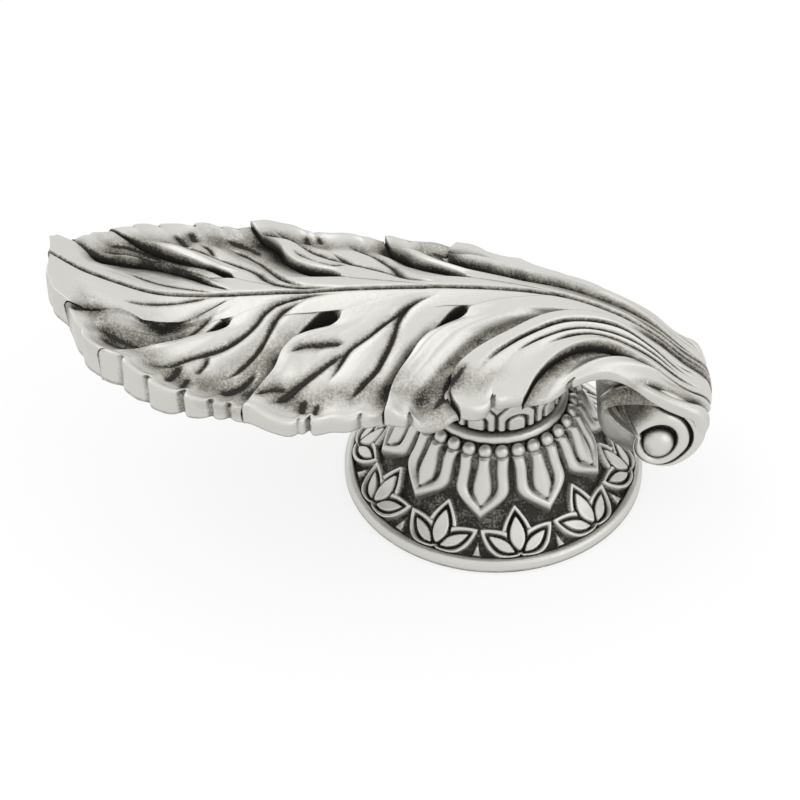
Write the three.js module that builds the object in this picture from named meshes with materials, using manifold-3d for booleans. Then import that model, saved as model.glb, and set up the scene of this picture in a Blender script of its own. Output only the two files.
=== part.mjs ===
// Cabinet knob in the form of a scrolled acanthus leaf, on a round backplate of petals and palmettes.
// Millimetres, +Z away from the drawer front. The origin is the centre of the backplate's flat back.
// The leaf runs along X, with its tip at -X and its scroll at +X, and is the same on both sides of Y = 0.
import * as THREE from "three";
import { mergeVertices } from "three/addons/utils/BufferGeometryUtils.js";
import Module from "manifold-3d";

const wasm = await Module();
wasm.setup();

// Backplate
const PLATE_RADIUS = 18;
const RIM_HEIGHT = 1.7;
const RIM_WIDTH = 1.2;
const PLATE_TOP = 13.2;
const PLATE_SECTORS = 10; // petals, and palmettes between them
const PETAL_TURN = -8; // degrees from the front (-Y) towards +X to the nearest petal
const PETAL_TOP_RADIUS = 9.7;
const PETAL_TIP_RADIUS = 13.1;
const PETAL_HALF_WIDTH = 3.3;
const PETAL_RIB = 1;
const PETAL_CREST = 0.55; // share of the rib's width from the petal's edge to its highest line
const PETAL_TONGUE_HALF_WIDTH = 1.35;
const PETAL_RELIEF = 1.3;
const PALMETTE_FOOT_RADIUS = 16.5;
const PALMETTE_SOFTNESS = 0.9;
const PALMETTE_RELIEF = 0.85;
const PALMETTE_SLOPE = 1.25; // length up the plate's slope for each millimetre of radius
const FACE_SLOPE = [60, 25]; // degrees of the plate's face, from the petals' tops to the palmettes
const FACE_SLOPE_RUN = 5.5; // radius over which the slope eases
const BEADS_PER_SECTOR = 3;
const BEAD_RADIUS = 0.82;
const BEAD_RING_RADIUS = 9.1;
const BEAD_HEIGHT = 11.5;
const COLLAR_RADIUS = 8.75;

// Stem of the knob
const SEAT_GAP = 0.3;
const STEM_RADIUS = 8;
const STEM_FLARE = 0.3;
const STEM_TOP = 26.4; // inside the blade
const EGG_COUNT = 20;
const EGG_RELIEF = 0.5;
const EGG_COLUMNS = 3;
const SPIGOT_RADIUS = 5.2;
const SPIGOT_LENGTH = 6;

// Threaded insert in the stem, and the way for its screw through the backplate
const INSERT_RADIUS = 3.1;
const INSERT_LENGTH = 9;
const INSERT_CHAMFER = 0.4;
const SCREW_HOLE_RADIUS = 1.7;
const SCREW_WAY_RADIUS = 2.4;
const FIT_GAP = 0.3;

// Leaf
const LIP_ROUND = 0.35;
const MIDRIB_GROOVE = 0.4;
const PARTING_WIDTH = 0.3; // plan width of the step where one leaflet overlaps the next
const PARTING_DEPTH = 0.35;
const CREASE_HALF_WIDTH = 0.24;

// Scroll
const SCROLL_X = 18.6;
const SCROLL_Z = 12.8;
const VOLUTE_X = 19.1; // the scroll's two ends wind round an axis of their own
const VOLUTE_Z = 10.6;
const SCROLL_HALF_LENGTH = 7.9;
const VOLUTE_EYE_RADIUS = 1.75;
const VOLUTE_DISH_DEPTH = 1.5;
const VOLUTE_RECESS = 3.2;
const BAND_RISE = 0.35;
const BAND_GROOVE = 0.8;

const rad = THREE.MathUtils.degToRad;
const clamp01 = (t) => Math.min(1, Math.max(0, t));
const smooth = (t) => clamp01(t) ** 2 * (3 - 2 * clamp01(t));
const mix = (a, b, t) => a + (b - a) * t;
const bump = (t) => (t <= 0 || t >= 1 ? 0 : Math.sin(Math.PI * t));

// Values evenly apart, count steps from one end to the other.
function span(count, from = 0, to = 1) {
  return Array.from({ length: count + 1 }, (_, i) => mix(from, to, i / count));
}

// A curve through [x, y] points, as a function of the share of its length.
function curveThrough(points) {
  const curve = new THREE.CatmullRomCurve3(
    points.map(([x, y]) => new THREE.Vector3(x, y, 0)),
    false,
    "centripetal",
  );
  curve.arcLengthDivisions = 400;
  return (t) => {
    const p = curve.getPointAt(clamp01(t));
    return [p.x, p.y];
  };
}

// A value read from rising [place, value] pairs, eased between them.
function table(pairs) {
  return (x) => {
    const k = pairs.findIndex(([at]) => at > x);
    if (k === 0) return pairs[0][1];
    if (k < 0) return pairs[pairs.length - 1][1];
    const [x0, y0] = pairs[k - 1];
    const [x1, y1] = pairs[k];
    return mix(y0, y1, smooth((x - x0) / (x1 - x0)));
  };
}

// A value read from rising [place, value] pairs along a smooth curve through them.
function smoothLine(pairs) {
  const at = curveThrough(pairs);
  const samples = span(300).map(at);
  return (x) => {
    const k = samples.findIndex(([place]) => place > x);
    if (k === 0) return samples[0][1];
    if (k < 0) return samples.at(-1)[1];
    const [[x0, y0], [x1, y1]] = [samples[k - 1], samples[k]];
    return mix(y0, y1, (x - x0) / (x1 - x0));
  };
}

// Triangles gathered from grids of points.
class Surface {
  positions = [];

  triangle(a, b, c, flip) {
    this.positions.push(...a, ...(flip ? c : b), ...(flip ? b : c));
  }

  grid(rows, flip) {
    for (let i = 0; i + 1 < rows.length; i++)
      for (let j = 0; j + 1 < rows[i].length; j++) {
        this.triangle(rows[i][j], rows[i + 1][j], rows[i + 1][j + 1], flip);
        this.triangle(rows[i][j], rows[i + 1][j + 1], rows[i][j + 1], flip);
      }
  }

  // A strip between two lines of points that may differ in number.
  strip(a, b, flip) {
    let i = 0;
    let j = 0;
    while (i < a.length - 1 || j < b.length - 1) {
      const nextA = (i + 1) / (a.length - 1);
      const nextB = (j + 1) / (b.length - 1);
      if (j === b.length - 1 || (i < a.length - 1 && nextA <= nextB)) {
        this.triangle(a[i], b[j], a[i + 1], flip);
        i += 1;
      } else {
        this.triangle(a[i], b[j], b[j + 1], flip);
        j += 1;
      }
    }
  }

  solid() {
    const geometry = new THREE.BufferGeometry();
    geometry.setAttribute("position", new THREE.Float32BufferAttribute(this.positions, 3));
    return toSolid(geometry);
  }
}

function toSolid(geometry) {
  const plain = geometry.clone();
  plain.deleteAttribute("normal");
  plain.deleteAttribute("uv");
  const merged = mergeVertices(plain, 1e-3);
  const index = [];
  for (let i = 0; i < merged.index.count; i += 3) {
    const [a, b, c] = [0, 1, 2].map((k) => merged.index.getX(i + k));
    if (a !== b && b !== c && c !== a) index.push(a, b, c);
  }
  return new wasm.Manifold(
    new wasm.Mesh({
      numProp: 3,
      vertProperties: new Float32Array(merged.attributes.position.array),
      triVerts: new Uint32Array(index),
    }),
  );
}

function toMesh(name, solid, material) {
  const cut = solid.getMesh();
  const geometry = new THREE.BufferGeometry();
  geometry.setAttribute("position", new THREE.BufferAttribute(cut.vertProperties, 3));
  geometry.setIndex(new THREE.BufferAttribute(cut.triVerts, 1));
  geometry.computeVertexNormals();
  const mesh = new THREE.Mesh(geometry, material);
  mesh.name = name;
  return mesh;
}

// The leaf's midrib in side view, [x, z], from its tip over the stem to the top of the scroll.
const SPINE_BODY = [
  [-51.5, 34.9],
  [-48.2, 32.4],
  [-44, 30.2],
  [-39.5, 28.5],
  [-33, 28.1],
  [-22, 28.8],
  [-10, 29.4],
  [0, 29.2],
  [8, 27.9],
  [14, 25.3],
  [18.8, 21.9],
  [22.3, 18.4],
];
const SPINE_TURN = [28, 12, -4, -20, -36, -52, -68]; // degrees about the scroll's centre
const SPINE_TURN_RADIUS = [7.1, 7.2, 7.25, 7.15, 6.9, 6.5, 6.1];

function makeSpine() {
  const turn = SPINE_TURN.map((degrees, i) => [
    SCROLL_X + SPINE_TURN_RADIUS[i] * Math.cos(rad(degrees)),
    SCROLL_Z + SPINE_TURN_RADIUS[i] * Math.sin(rad(degrees)),
  ]);
  const at = curveThrough([...SPINE_BODY, ...turn]);
  const samples = span(800).map((t) => at(t)).map(([x, z]) => ({ x, z, s: 0 }));
  samples.forEach((p, i) => {
    if (i > 0) p.s = samples[i - 1].s + Math.hypot(p.x - samples[i - 1].x, p.z - samples[i - 1].z);
  });
  const overStem = samples.find((p) => p.x >= 0).s;
  samples.forEach((p) => (p.s -= overStem));
  return samples;
}
const spine = makeSpine();
const ROOT_S = spine[spine.length - 1].s;

// The midrib point at s, its length from over the stem, and the way out of the leaf there.
function spineAt(s) {
  const k = Math.min(spine.length - 1, Math.max(1, spine.findIndex((p) => p.s >= s - 1e-9)));
  const [p, q] = [spine[k - 1], spine[k]];
  const t = clamp01((s - p.s) / (q.s - p.s));
  const before = spine[Math.max(0, k - 9)];
  const after = spine[Math.min(spine.length - 1, k + 8)];
  const run = Math.hypot(after.x - before.x, after.z - before.z);
  return {
    x: mix(p.x, q.x, t),
    z: mix(p.z, q.z, t),
    nx: -(after.z - before.z) / run,
    nz: (after.x - before.x) / run,
  };
}

// Fall of the blade from its midrib to its edges, in degrees, along the leaf.
const droop = table([
  [-54, 14],
  [-47, 14],
  [-42, 7],
  [-36, 9],
  [-30, 13],
  [-20, 21],
  [-8, 26],
  [2, 30],
  [9, 31],
  [15, 28],
  [22, 26],
  [27, 23],
  [32, 15],
  [38, 8],
]);
const MIDRIB_ROUND = 1.5;
const LEAF_HALF_WIDTH = 14;

// The point at s along the leaf, a out from the midrib, h above the plain blade and then depth below that.
// Over the scroll, depth runs towards the scroll's centre, and under the blade it runs straight down.
function leafPoint(s, a, h, depth, side) {
  const c = spineAt(s);
  const fall = Math.tan(rad(droop(s))) * (Math.hypot(a, MIDRIB_ROUND) - MIDRIB_ROUND);
  const turn = smooth((s - 8) / 12);
  const length = Math.hypot(turn * c.nx, mix(1, c.nz, turn));
  return [
    c.x + c.nx * (h - fall) - (depth * turn * c.nx) / length,
    side * a,
    c.z + c.nz * (h - fall) - (depth * mix(1, c.nz, turn)) / length,
  ];
}

// Flow lines of [s, a] from the midrib to the edge, in order from the scroll's end of the leaf to its tip.
// Leaflets lie between neighbouring lines. From the third line on, the lines are the partings between them.
const FLOW_LINES = [
  [[ROOT_S, 0], [ROOT_S, 5.8]],
  [[36, 0], [35.6, 2.6], [34, 4.6], [31, 5.8], [27, 6.5]],
  [
    [34, 0], [33, 2], [30, 3.6], [26, 4.4], [21, 4.7], [17, 4.5],
    [14, 4.5], [11.5, 5.1], [8.2, 6.8], [5.4, 9.4], [4, 11.8],
  ],
  [
    [31, 0], [29.5, 1.2], [26, 1.9], [21, 2.1], [16, 1.9], [12.3, 1.8],
    [6.2, 3.1], [1.4, 5.5], [-3.3, 8.3], [-5.4, 10.3], [-5.6, 12.4], [-4.6, 14.2],
  ],
  [
    [8, 0], [4, 0.8], [0, 1.6], [-3.6, 2.7], [-6.9, 5],
    [-9.2, 7.2], [-10.5, 9.2], [-12.4, 11.6], [-13.4, 14.9],
  ],
  [
    [-6, 0], [-10, 0.8], [-14, 1.7], [-18.4, 3.1], [-22.6, 5.4],
    [-25, 8.3], [-26, 10.9], [-28, 13.2], [-29.4, 15.8],
  ],
  [[-20, 0], [-24, 0.9], [-27.5, 2], [-30.5, 3.4], [-32.9, 5.3], [-36.2, 6.9], [-39.4, 9], [-42.6, 11.4]],
  [[-29, 0], [-31.5, 1.4], [-34.8, 3.2], [-38, 4.1], [-41.4, 4.1], [-45.5, 4.2], [-49.6, 5.3]],
  [[-36, 0], [-41, 0], [-47, 0], [-54, 0]],
];

// Leaflets from the scroll to the tip. edge is the margin between the two flow lines' ends, and profile the
// blade's height across the leaflet, [share, height]. A crease is [share across, depth, from, to], with its
// ends as shares of the way from the midrib to the edge. A notch in the margin is [share across, depth].
const LEAFLETS = [
  { columns: 3, profile: [[0, 0], [1, 0.4]], edge: [[32, 6.3]], creases: [], notches: [] },
  {
    columns: 8,
    profile: [[0, 0.4], [0.12, 0.3], [0.3, -0.5], [0.55, 0.5], [0.75, 0.3], [0.9, -0.6], [1, -0.9]],
    edge: [[23, 6.6], [19, 6.6], [16, 7], [13, 7.9], [10, 9.3], [7, 11.2]],
    creases: [[0.3, 0.3, 0.1, 0.95]],
    notches: [[0.72, 0.35]],
  },
  {
    columns: 7,
    profile: [[0, 0.9], [0.2, 0.7], [0.5, 0.9], [0.8, 1.3], [1, 1.2]],
    edge: [[2.6, 12], [1, 12.4], [-2, 14], [-3.2, 14.3]],
    creases: [[0.28, 0.5, 0.15, 0.8], [0.5, 0.6, 0.2, 0.85], [0.74, 0.8, 0.12, 0.9]],
    notches: [[0.48, 0.45]],
  },
  {
    columns: 7,
    profile: [[0, -1.2], [0.15, -1], [0.45, -0.9], [0.75, 0.3], [0.92, 1.3], [1, 1.2]],
    edge: [[-6.4, 15.6], [-8, 15.9], [-11, 15.4]],
    creases: [[0.2, 0.3, 0.5, 0.95]],
    notches: [[0.66, 0.6]],
  },
  {
    columns: 8,
    profile: [
      [0, -1.2], [0.12, -0.2], [0.2, 0.3], [0.33, -0.5], [0.48, 0.1],
      [0.62, -0.5], [0.8, 0], [0.93, 1.3], [1, 1.1],
    ],
    edge: [[-15.4, 15.6], [-17.6, 16], [-19.5, 15.6], [-21.4, 16.4], [-24, 17.1], [-27.4, 17]],
    creases: [[0.33, 0.9, 0.08, 0.92], [0.62, 0.9, 0.1, 0.88], [0.82, 0.35, 0.62, 0.93]],
    notches: [[0.3, 0.6], [0.58, 0.9], [0.8, 0.4]],
  },
  {
    columns: 7,
    profile: [[0, -1.2], [0.15, -0.5], [0.3, -0.5], [0.45, 0.2], [0.62, -0.3], [0.86, 1.2], [1, 0.9]],
    edge: [[-32.3, 15.2], [-34.6, 15.2], [-36.6, 14.3], [-39.6, 13.6]],
    creases: [[0.3, 0.7, 0.1, 0.85], [0.62, 0.8, 0.1, 0.95], [0.47, 0.3, 0.5, 0.95]],
    notches: [[0.25, 0.6], [0.5, 0.7], [0.75, 0.6]],
  },
  {
    columns: 6,
    profile: [[0, -1], [0.2, -1.1], [0.5, -0.9], [0.8, 0.2], [0.93, 0.9], [1, 0.7]],
    edge: [[-44.6, 10.7], [-47, 9.2], [-48, 7.4]],
    creases: [[0.35, 0.3, 0.3, 0.95]],
    notches: [[0.35, 0.5], [0.7, 0.5]],
  },
  {
    columns: 5,
    profile: [[0, -0.5], [0.3, -0.5], [0.6, -0.2], [0.8, -0.1], [1, 0]],
    edge: [[-51.8, 4.6], [-53.3, 2.6]],
    creases: [[0.45, 0.4, 0.15, 0.9]],
    notches: [[0.4, 0.4]],
  },
];

// Where each flow line's parting starts, and the share of its relief that is left at the leaf's edge.
const PARTING_STARTS = [0, 0.05, 0.06, 0.08, 0.38, 0.4, 0.4, 0.1, 0];
const EDGE_RELIEF = [0.5, 0.5, 0.6, 0.6, 0.6, 0.6, 0.3, 0.25, 0.2];

// Drop-shaped pits where leaflets part, from and to as shares of the parting, by their flow line.
const EYES = new Map([
  [4, { from: 0.42, to: 0.62, width: 1.35, depth: 2.4 }],
  [5, { from: 0.42, to: 0.64, width: 2.1, depth: 2.6 }],
  [6, { from: 0.43, to: 0.57, width: 1.1, depth: 1.8 }],
]);

const flowCurves = FLOW_LINES.map(curveThrough);
const edgeCurves = LEAFLETS.map((leaflet, i) =>
  curveThrough([FLOW_LINES[i].at(-1), ...leaflet.edge, FLOW_LINES[i + 1].at(-1)]),
);
const TOP_SHARES = [0, 0.06, 0.13, 0.21, 0.3, 0.4, 0.47, 0.54, 0.62, 0.7, 0.78, 0.87, 0.96, 1];
const UNDER_SHARES = [0, 0.4, 0.75, 1];
const profiles = LEAFLETS.map((leaflet) => table(leaflet.profile));

// The share of a leaflet's relief at r: it grows from where the partings beside it start.
function reliefShare(k, t, r) {
  const start = mix(PARTING_STARTS[k], PARTING_STARTS[k + 1], t);
  const edge = mix(EDGE_RELIEF[k], EDGE_RELIEF[k + 1], t);
  return mix(0.03, 1, smooth((r - start) / 0.4)) * mix(1, edge, smooth((r - 0.75) / 0.25));
}

// The eye's width along a parting, as a share: round towards the scroll and pointed towards the edge.
function eyeShare(line, r) {
  const eye = EYES.get(line);
  if (!eye || r <= eye.from || r >= eye.to) return 0;
  const t = (r - eye.from) / (eye.to - eye.from);
  return t < 0.3 ? Math.sqrt(1 - (1 - t / 0.3) ** 2) : ((1 - t) / 0.7) ** 0.85;
}

// The parting line's point at r, moved to its scroll side (-1) or its tip side (+1).
function partingPoint(line, r, way) {
  const [s, a] = flowCurves[line](r);
  const isParting = line > 1 && line < FLOW_LINES.length - 1;
  if (!isParting || way === 0) return [s, a];
  const opening = smooth((r - PARTING_STARTS[line] + 0.05) / 0.1) * smooth(r / 0.08);
  const width = PARTING_WIDTH * opening + (EYES.get(line)?.width ?? 0) * eyeShare(line, r);
  const [s0, a0] = flowCurves[line](Math.max(0, r - 0.03));
  const [s1, a1] = flowCurves[line](Math.min(1, r + 0.03));
  const run = Math.hypot(s1 - s0, a1 - a0);
  const move = (way * width) / 2 / run;
  return [s - move * (a1 - a0), Math.max(0, a + move * (s1 - s0))];
}

function leafletWidth(k, r) {
  const [s0, a0] = flowCurves[k](r);
  const [s1, a1] = flowCurves[k + 1](r);
  return Math.hypot(s1 - s0, a1 - a0) + 0.2;
}

// Height of leaflet k over the plain blade at share t across it and r out along it.
function leafletHeight(k, t, r) {
  const width = leafletWidth(k, r);
  const cuts = LEAFLETS[k].creases.map(([at, depth, from, to]) => {
    const reach = smooth((r - from) / 0.15) * smooth((to - r) / 0.12);
    return depth * reach * Math.exp((-Math.abs(t - at) * width) / CREASE_HALF_WIDTH);
  });
  return reliefShare(k, t, r) * profiles[k](t) - cuts.reduce((sum, depth) => sum + depth, 0);
}

function notchDepth(k, t) {
  const width = leafletWidth(k, 1);
  const cuts = LEAFLETS[k].notches.map(
    ([at, depth]) => depth * Math.exp(-(((Math.abs(t - at) * width) / 0.5) ** 1.3)),
  );
  return cuts.reduce((sum, depth) => sum + depth, 0);
}

function leafletPoint(k, t, r) {
  const pulled = r - (notchDepth(k, t) / LEAF_HALF_WIDTH) * r ** 6;
  const [s0, a0] = partingPoint(k, pulled, 1);
  const [s1, a1] = partingPoint(k + 1, pulled, -1);
  const ends = [partingPoint(k, 1, 1), partingPoint(k + 1, 1, -1)];
  const edge = edgeCurves[k](t);
  const pull = r ** 3;
  return [
    mix(s0, s1, t) + pull * (edge[0] - mix(ends[0][0], ends[1][0], t)) * bump(t) ** 0.5,
    mix(a0, a1, t) + pull * (edge[1] - mix(ends[0][1], ends[1][1], t)) * bump(t) ** 0.5,
  ];
}

// Shares across a leaflet where its columns lie: evenly apart, with more at its ridges, creases and notches.
function leafletShares({ columns, profile, creases, notches }) {
  const near = 0.035;
  const banks = creases.flatMap(([at]) => [at - 0.06, at + 0.06]);
  const wanted = [0, 1, ...creases.map(([at]) => at), ...notches.map(([at]) => at), ...banks];
  const kept = [];
  [...wanted, ...profile.map(([at]) => at), ...span(columns)].forEach((at) => {
    if (at >= 0 && at <= 1 && kept.every((other) => Math.abs(other - at) > near)) kept.push(at);
  });
  return kept.sort((a, b) => a - b);
}

// Columns of the leaf from the scroll to the tip, each a function of r that gives s, a and h.
function leafColumns() {
  const columns = [];
  LEAFLETS.forEach((leaflet, k) => {
    leafletShares(leaflet).forEach((t) => {
      columns.push((r) => [...leafletPoint(k, t, r), leafletHeight(k, t, r)]);
    });
    const line = k + 1;
    const partsLeaflets = line > 1 && line < LEAFLETS.length;
    if (partsLeaflets)
      columns.push((r) => {
        const lower = Math.min(leafletHeight(k, 1, r), leafletHeight(line, 0, r));
        const pit = (EYES.get(line)?.depth ?? 0) * eyeShare(line, r);
        const parting = PARTING_DEPTH * smooth((r - PARTING_STARTS[line]) / 0.08);
        return [...partingPoint(line, r, 0), lower - parting - pit];
      });
  });
  return columns;
}

const edgeThickness = table([
  [-45, 4.4],
  [-27, 2],
  [-15, 1.9],
  [-9, 1.1],
]);
const middleThickness = table([
  [-48, 4.4],
  [-30, 4.2],
  [3, 4.2],
  [11, 8.5],
  [16, 8],
  [23, 4.2],
]);

function leafThickness(s, r) {
  return mix(middleThickness(s), edgeThickness(s), smooth((r - 0.2) / 0.8));
}

function leafSide(surface, side) {
  const columns = leafColumns();
  const top = columns.map((column) =>
    TOP_SHARES.map((r) => {
      const [s, a, h] = column(r);
      const groove = r === 0 || a === 0 ? MIDRIB_GROOVE : 0;
      return leafPoint(s, a, h - groove - (r === 1 ? LIP_ROUND : 0), 0, side);
    }),
  );
  const under = columns.map((column) =>
    UNDER_SHARES.map((r) => {
      const [s, a, h] = column(r);
      return leafPoint(s, a, r === 1 ? h : 0, leafThickness(s, r), side);
    }),
  );
  const isMirror = side < 0;
  surface.grid(top, !isMirror);
  surface.grid(under, isMirror);
  surface.grid([top.map((line) => line.at(-1)), under.map((line) => line.at(-1))], isMirror);
  surface.strip(top[0], under[0], isMirror);
}

function leafBlade() {
  const surface = new Surface();
  leafSide(surface, 1);
  leafSide(surface, -1);
  return surface.solid();
}

// A closed shape round Z from a loop of [radius, height], where outwards gives how far out a point moves.
function roundSolid(profile, columns, outwards = () => 0) {
  const rows = columns.map((degrees) =>
    profile.map(([r, z], i) => {
      const out = r + outwards(degrees, i);
      const angle = rad(degrees - 90);
      return [out * Math.cos(angle), out * Math.sin(angle), z];
    }),
  );
  const surface = new Surface();
  surface.grid([...rows, rows[0]], true);
  return surface.solid();
}

// The scroll's two ends. Two bands start side by side under the leaf and wind once round an eye in a dish:
// [degrees, radius] of the bands' outer edges and of the dish's rim, about the volute's centre.
const outerBand = smoothLine([
  [-205, 2.9], [-159, 2.95], [-104, 2.8], [-65, 3.3], [-34, 4.2],
  [-6, 5.3], [17, 5.9], [50, 5.9], [90, 7.3], [116, 8.9], [140, 9.2],
]);
const innerBand = smoothLine([
  [-205, 2.75], [-159, 2.75], [-104, 2.55], [-65, 2.7], [-25, 3.2],
  [3, 3.9], [35, 4.2], [76, 4.7], [110, 5.6], [140, 7.6],
]);
const dishRim = smoothLine([
  [-220, 2.7], [-180, 2.4], [-126, 2], [-90, 1.85], [-60, 1.85], [-19, 1.95],
  [11, 2.2], [42, 2.6], [77, 2.9], [110, 2.9], [140, 2.8],
]);
// Half the scroll's length at the bands' outer edge, and the radius of the barrel between the ends.
const rimHalfLength = smoothLine([
  [-205, 7.4], [-104, 7.9], [-65, 7.8], [-34, 7.4], [-6, 6.9], [17, 6.3], [50, 6.1], [140, 6.1],
]);
const barrelRadius = smoothLine([
  [-205, 6.4], [-134, 6.6], [-90, 5.7], [-45, 5.2], [0, 5], [90, 5], [140, 6],
]);
const BAND_START = 140;
const BAND_END = -205;

// Stations from the volute's centre to its rim: which ring they lie in and how far across it.
const VOLUTE_STATIONS = [
  [0, 0], [0, 1], [1, 1], [2, 0.45], [2, 0.82], [3, 0], [3, 0.2], [3, 0.55], [3, 0.9], [3, 1],
];

// Radius, and distance from the scroll's middle, at one station of the volute's face.
function voluteFace(degrees, ring, u) {
  const [dish, inner, outer] = [dishRim(degrees), innerBand(degrees), outerBand(degrees)];
  const radii = [0, dish * 0.82, dish, inner, outer];
  const radius = mix(radii[ring], radii[ring + 1], u);
  const width = smooth((outer - inner) / 0.9);
  const recess = VOLUTE_RECESS * smooth((degrees - 70) / 65) * smooth((radius - 2.6) / 3);
  const rise = BAND_RISE * (1 - (2 * u - 1) ** 2);
  const half = mix(SCROLL_HALF_LENGTH, rimHalfLength(degrees), smooth(radius / outer));
  const edge = 0.35 * smooth((u - 0.75) / 0.25);
  const groove = width * BAND_GROOVE * (1 - smooth(u / 0.2)) + recess * smooth((0.15 - u) / 0.15);
  const depths = [
    VOLUTE_DISH_DEPTH,
    mix(VOLUTE_DISH_DEPTH, 0.25, smooth(u)),
    0.3 - rise + recess + width * BAND_GROOVE * smooth((u - 0.82) / 0.18),
    0.3 - rise * width + edge + groove,
  ];
  return [radius, half - depths[ring]];
}

// The whole scroll as one body: a face at each end, and a barrel between their rims.
function scroll() {
  const place = (x, z, degrees, r, y) => [x + r * Math.cos(rad(degrees)), y, z + r * Math.sin(rad(degrees))];
  const rows = span(32, BAND_START, BAND_END).map((degrees) => {
    const face = VOLUTE_STATIONS.map(([ring, u]) => voluteFace(degrees, ring, u));
    const end = (way) =>
      face.map(([r, reach]) => place(VOLUTE_X, VOLUTE_Z, degrees, r, way * reach));
    const [rimRadius, rimReach] = face.at(-1);
    const barrel = span(8, -1, 1).slice(1, -1).map((across) => {
      const share = smooth((Math.abs(across) - 0.5) / 0.5);
      const y = across * rimReach;
      const middle = place(SCROLL_X, SCROLL_Z, degrees, barrelRadius(degrees), y);
      const rim = place(VOLUTE_X, VOLUTE_Z, degrees, rimRadius, y);
      return middle.map((value, axis) => mix(value, rim[axis], share));
    });
    return [...end(-1), ...barrel, ...end(1).reverse()];
  });
  const surface = new Surface();
  surface.grid([...rows, rows[0]], false);
  return surface.solid();
}

function voluteEyes() {
  const out = SCROLL_HALF_LENGTH - VOLUTE_DISH_DEPTH;
  const arc = span(4, 0, 90).map((degrees) => [
    VOLUTE_EYE_RADIUS * Math.cos(rad(degrees)),
    out + 0.85 * VOLUTE_EYE_RADIUS * Math.sin(rad(degrees)),
  ]);
  const lower = [...arc].reverse().map(([r, y]) => [r, -y]);
  const lathe = new THREE.LatheGeometry(
    [...lower, ...arc].map(([r, y]) => new THREE.Vector2(r, y)),
    14,
  );
  lathe.translate(VOLUTE_X, 0, VOLUTE_Z);
  return toSolid(lathe);
}

// The stem, its egg band, its spigot and its blind hole for the insert, as one turned shape.
function stem() {
  const foot = PLATE_TOP + SEAT_GAP;
  const spigotEnd = foot - SPIGOT_LENGTH;
  const holeRadius = INSERT_RADIUS + FIT_GAP;
  const holeEnd = spigotEnd + INSERT_LENGTH + FIT_GAP;
  const profile = [
    [0, STEM_TOP],
    [STEM_RADIUS / 2, STEM_TOP - 0.6],
    [STEM_RADIUS - 0.9, STEM_TOP - 2],
    [STEM_RADIUS + STEM_FLARE, STEM_TOP - 4.4],
    [STEM_RADIUS + STEM_FLARE * 0.6, 19.4],
    [STEM_RADIUS, 15.6],
    [STEM_RADIUS - 0.4, foot],
    [SPIGOT_RADIUS, foot],
    [SPIGOT_RADIUS, spigotEnd],
    [holeRadius, spigotEnd],
    [holeRadius, holeEnd],
    [0, holeEnd],
  ];
  const egg = (degrees, i) => {
    const isEgg = i === 4 || i === 5;
    const across = Math.abs(Math.sin(rad((degrees * EGG_COUNT) / 2)));
    return isEgg ? EGG_RELIEF * (smooth((across - 0.25) / 0.4) - 0.5) : 0;
  };
  return roundSolid(profile, span(EGG_COUNT * EGG_COLUMNS, 0, 360).slice(0, -1), egg);
}

function leafKnob() {
  const material = new THREE.MeshStandardMaterial({ color: "#c9c6bd", metalness: 1, roughness: 0.35 });
  const body = leafBlade().add(stem()).add(scroll()).add(voluteEyes());
  return toMesh("leaf_knob", body, material);
}

// The backplate's face from its rim in to the beads, [radius, height].
const PLATE_FACE = [
  [16.7, 1.15],
  [16, 1.4],
  [15.2, 1.9],
  [14.4, 2.5],
  [13.7, 3.1],
  [13.2, 3.65],
  [12.75, 4.2],
  [12.3, 4.9],
  [11.7, 6],
  [11.1, 7.3],
  [10.5, 8.6],
  [10, 9.8],
];

// Half the width of a petal and of the tongue in it, in millimetres round the plate, at a radius.
function petalHalfWidths(radius) {
  const down = clamp01((radius - PETAL_TOP_RADIUS) / (PETAL_TIP_RADIUS - PETAL_TOP_RADIUS));
  const point = (1 - clamp01((down - 0.55) / 0.45) ** 1.5) ** 0.75;
  const full = smooth(down / 0.55);
  return {
    petal: PETAL_HALF_WIDTH * mix(0.8, 1, full) * point,
    tongue: PETAL_TONGUE_HALF_WIDTH * mix(0.75, 1, full) * Math.sqrt(smooth((0.86 - down) / 0.34)),
    down,
  };
}

// A petal's raised border, its sunk ground and the drop-shaped tongue in it, as shares of its relief.
function petalShare(across, radius) {
  const { petal, tongue, down } = petalHalfWidths(radius);
  if (down === 1) return 0;
  const inside = petal - across;
  const fromCrest = (inside - PETAL_RIB * PETAL_CREST) / (PETAL_RIB * 0.5);
  const border = Math.exp(-(fromCrest ** 4)) * mix(0.8, 1.35, smooth(down));
  const ground = 0.35 * smooth(inside / 0.25);
  const drop = tongue > across ? 0.95 * Math.sqrt(1 - (across / tongue) ** 2) : 0;
  return Math.max(border, ground, drop);
}

// Columns that follow a petal's tongue, border and edge at a radius, in degrees from its middle to the
// sector's side, and even out below the petal.
function sectorColumns(radius) {
  const { petal, tongue, down } = petalHalfWidths(radius);
  const side = 180 / PLATE_SECTORS;
  const crest = petal - PETAL_RIB * PETAL_CREST;
  const edges = [0.6 * tongue, tongue, petal - PETAL_RIB, crest, petal - 0.05, petal + 0.25];
  const even = smooth((down - 0.85) / 0.15);
  const half = edges.map((across, i) => {
    const followed = THREE.MathUtils.radToDeg(Math.max(across, 0.1 * (i + 1)) / radius);
    return mix(followed, (side * (i + 1)) / (edges.length + 1), even);
  });
  return [...half.toReversed().map((degrees) => -degrees), 0, ...half, side];
}

// Three pointed leaves fan out from a foot by the rim: [direction in degrees, length, half width].
const PALMETTE_LEAVES = [
  [0, 5.7, 1.7],
  [50, 5.3, 1.5],
  [-50, 5.3, 1.5],
];

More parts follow.
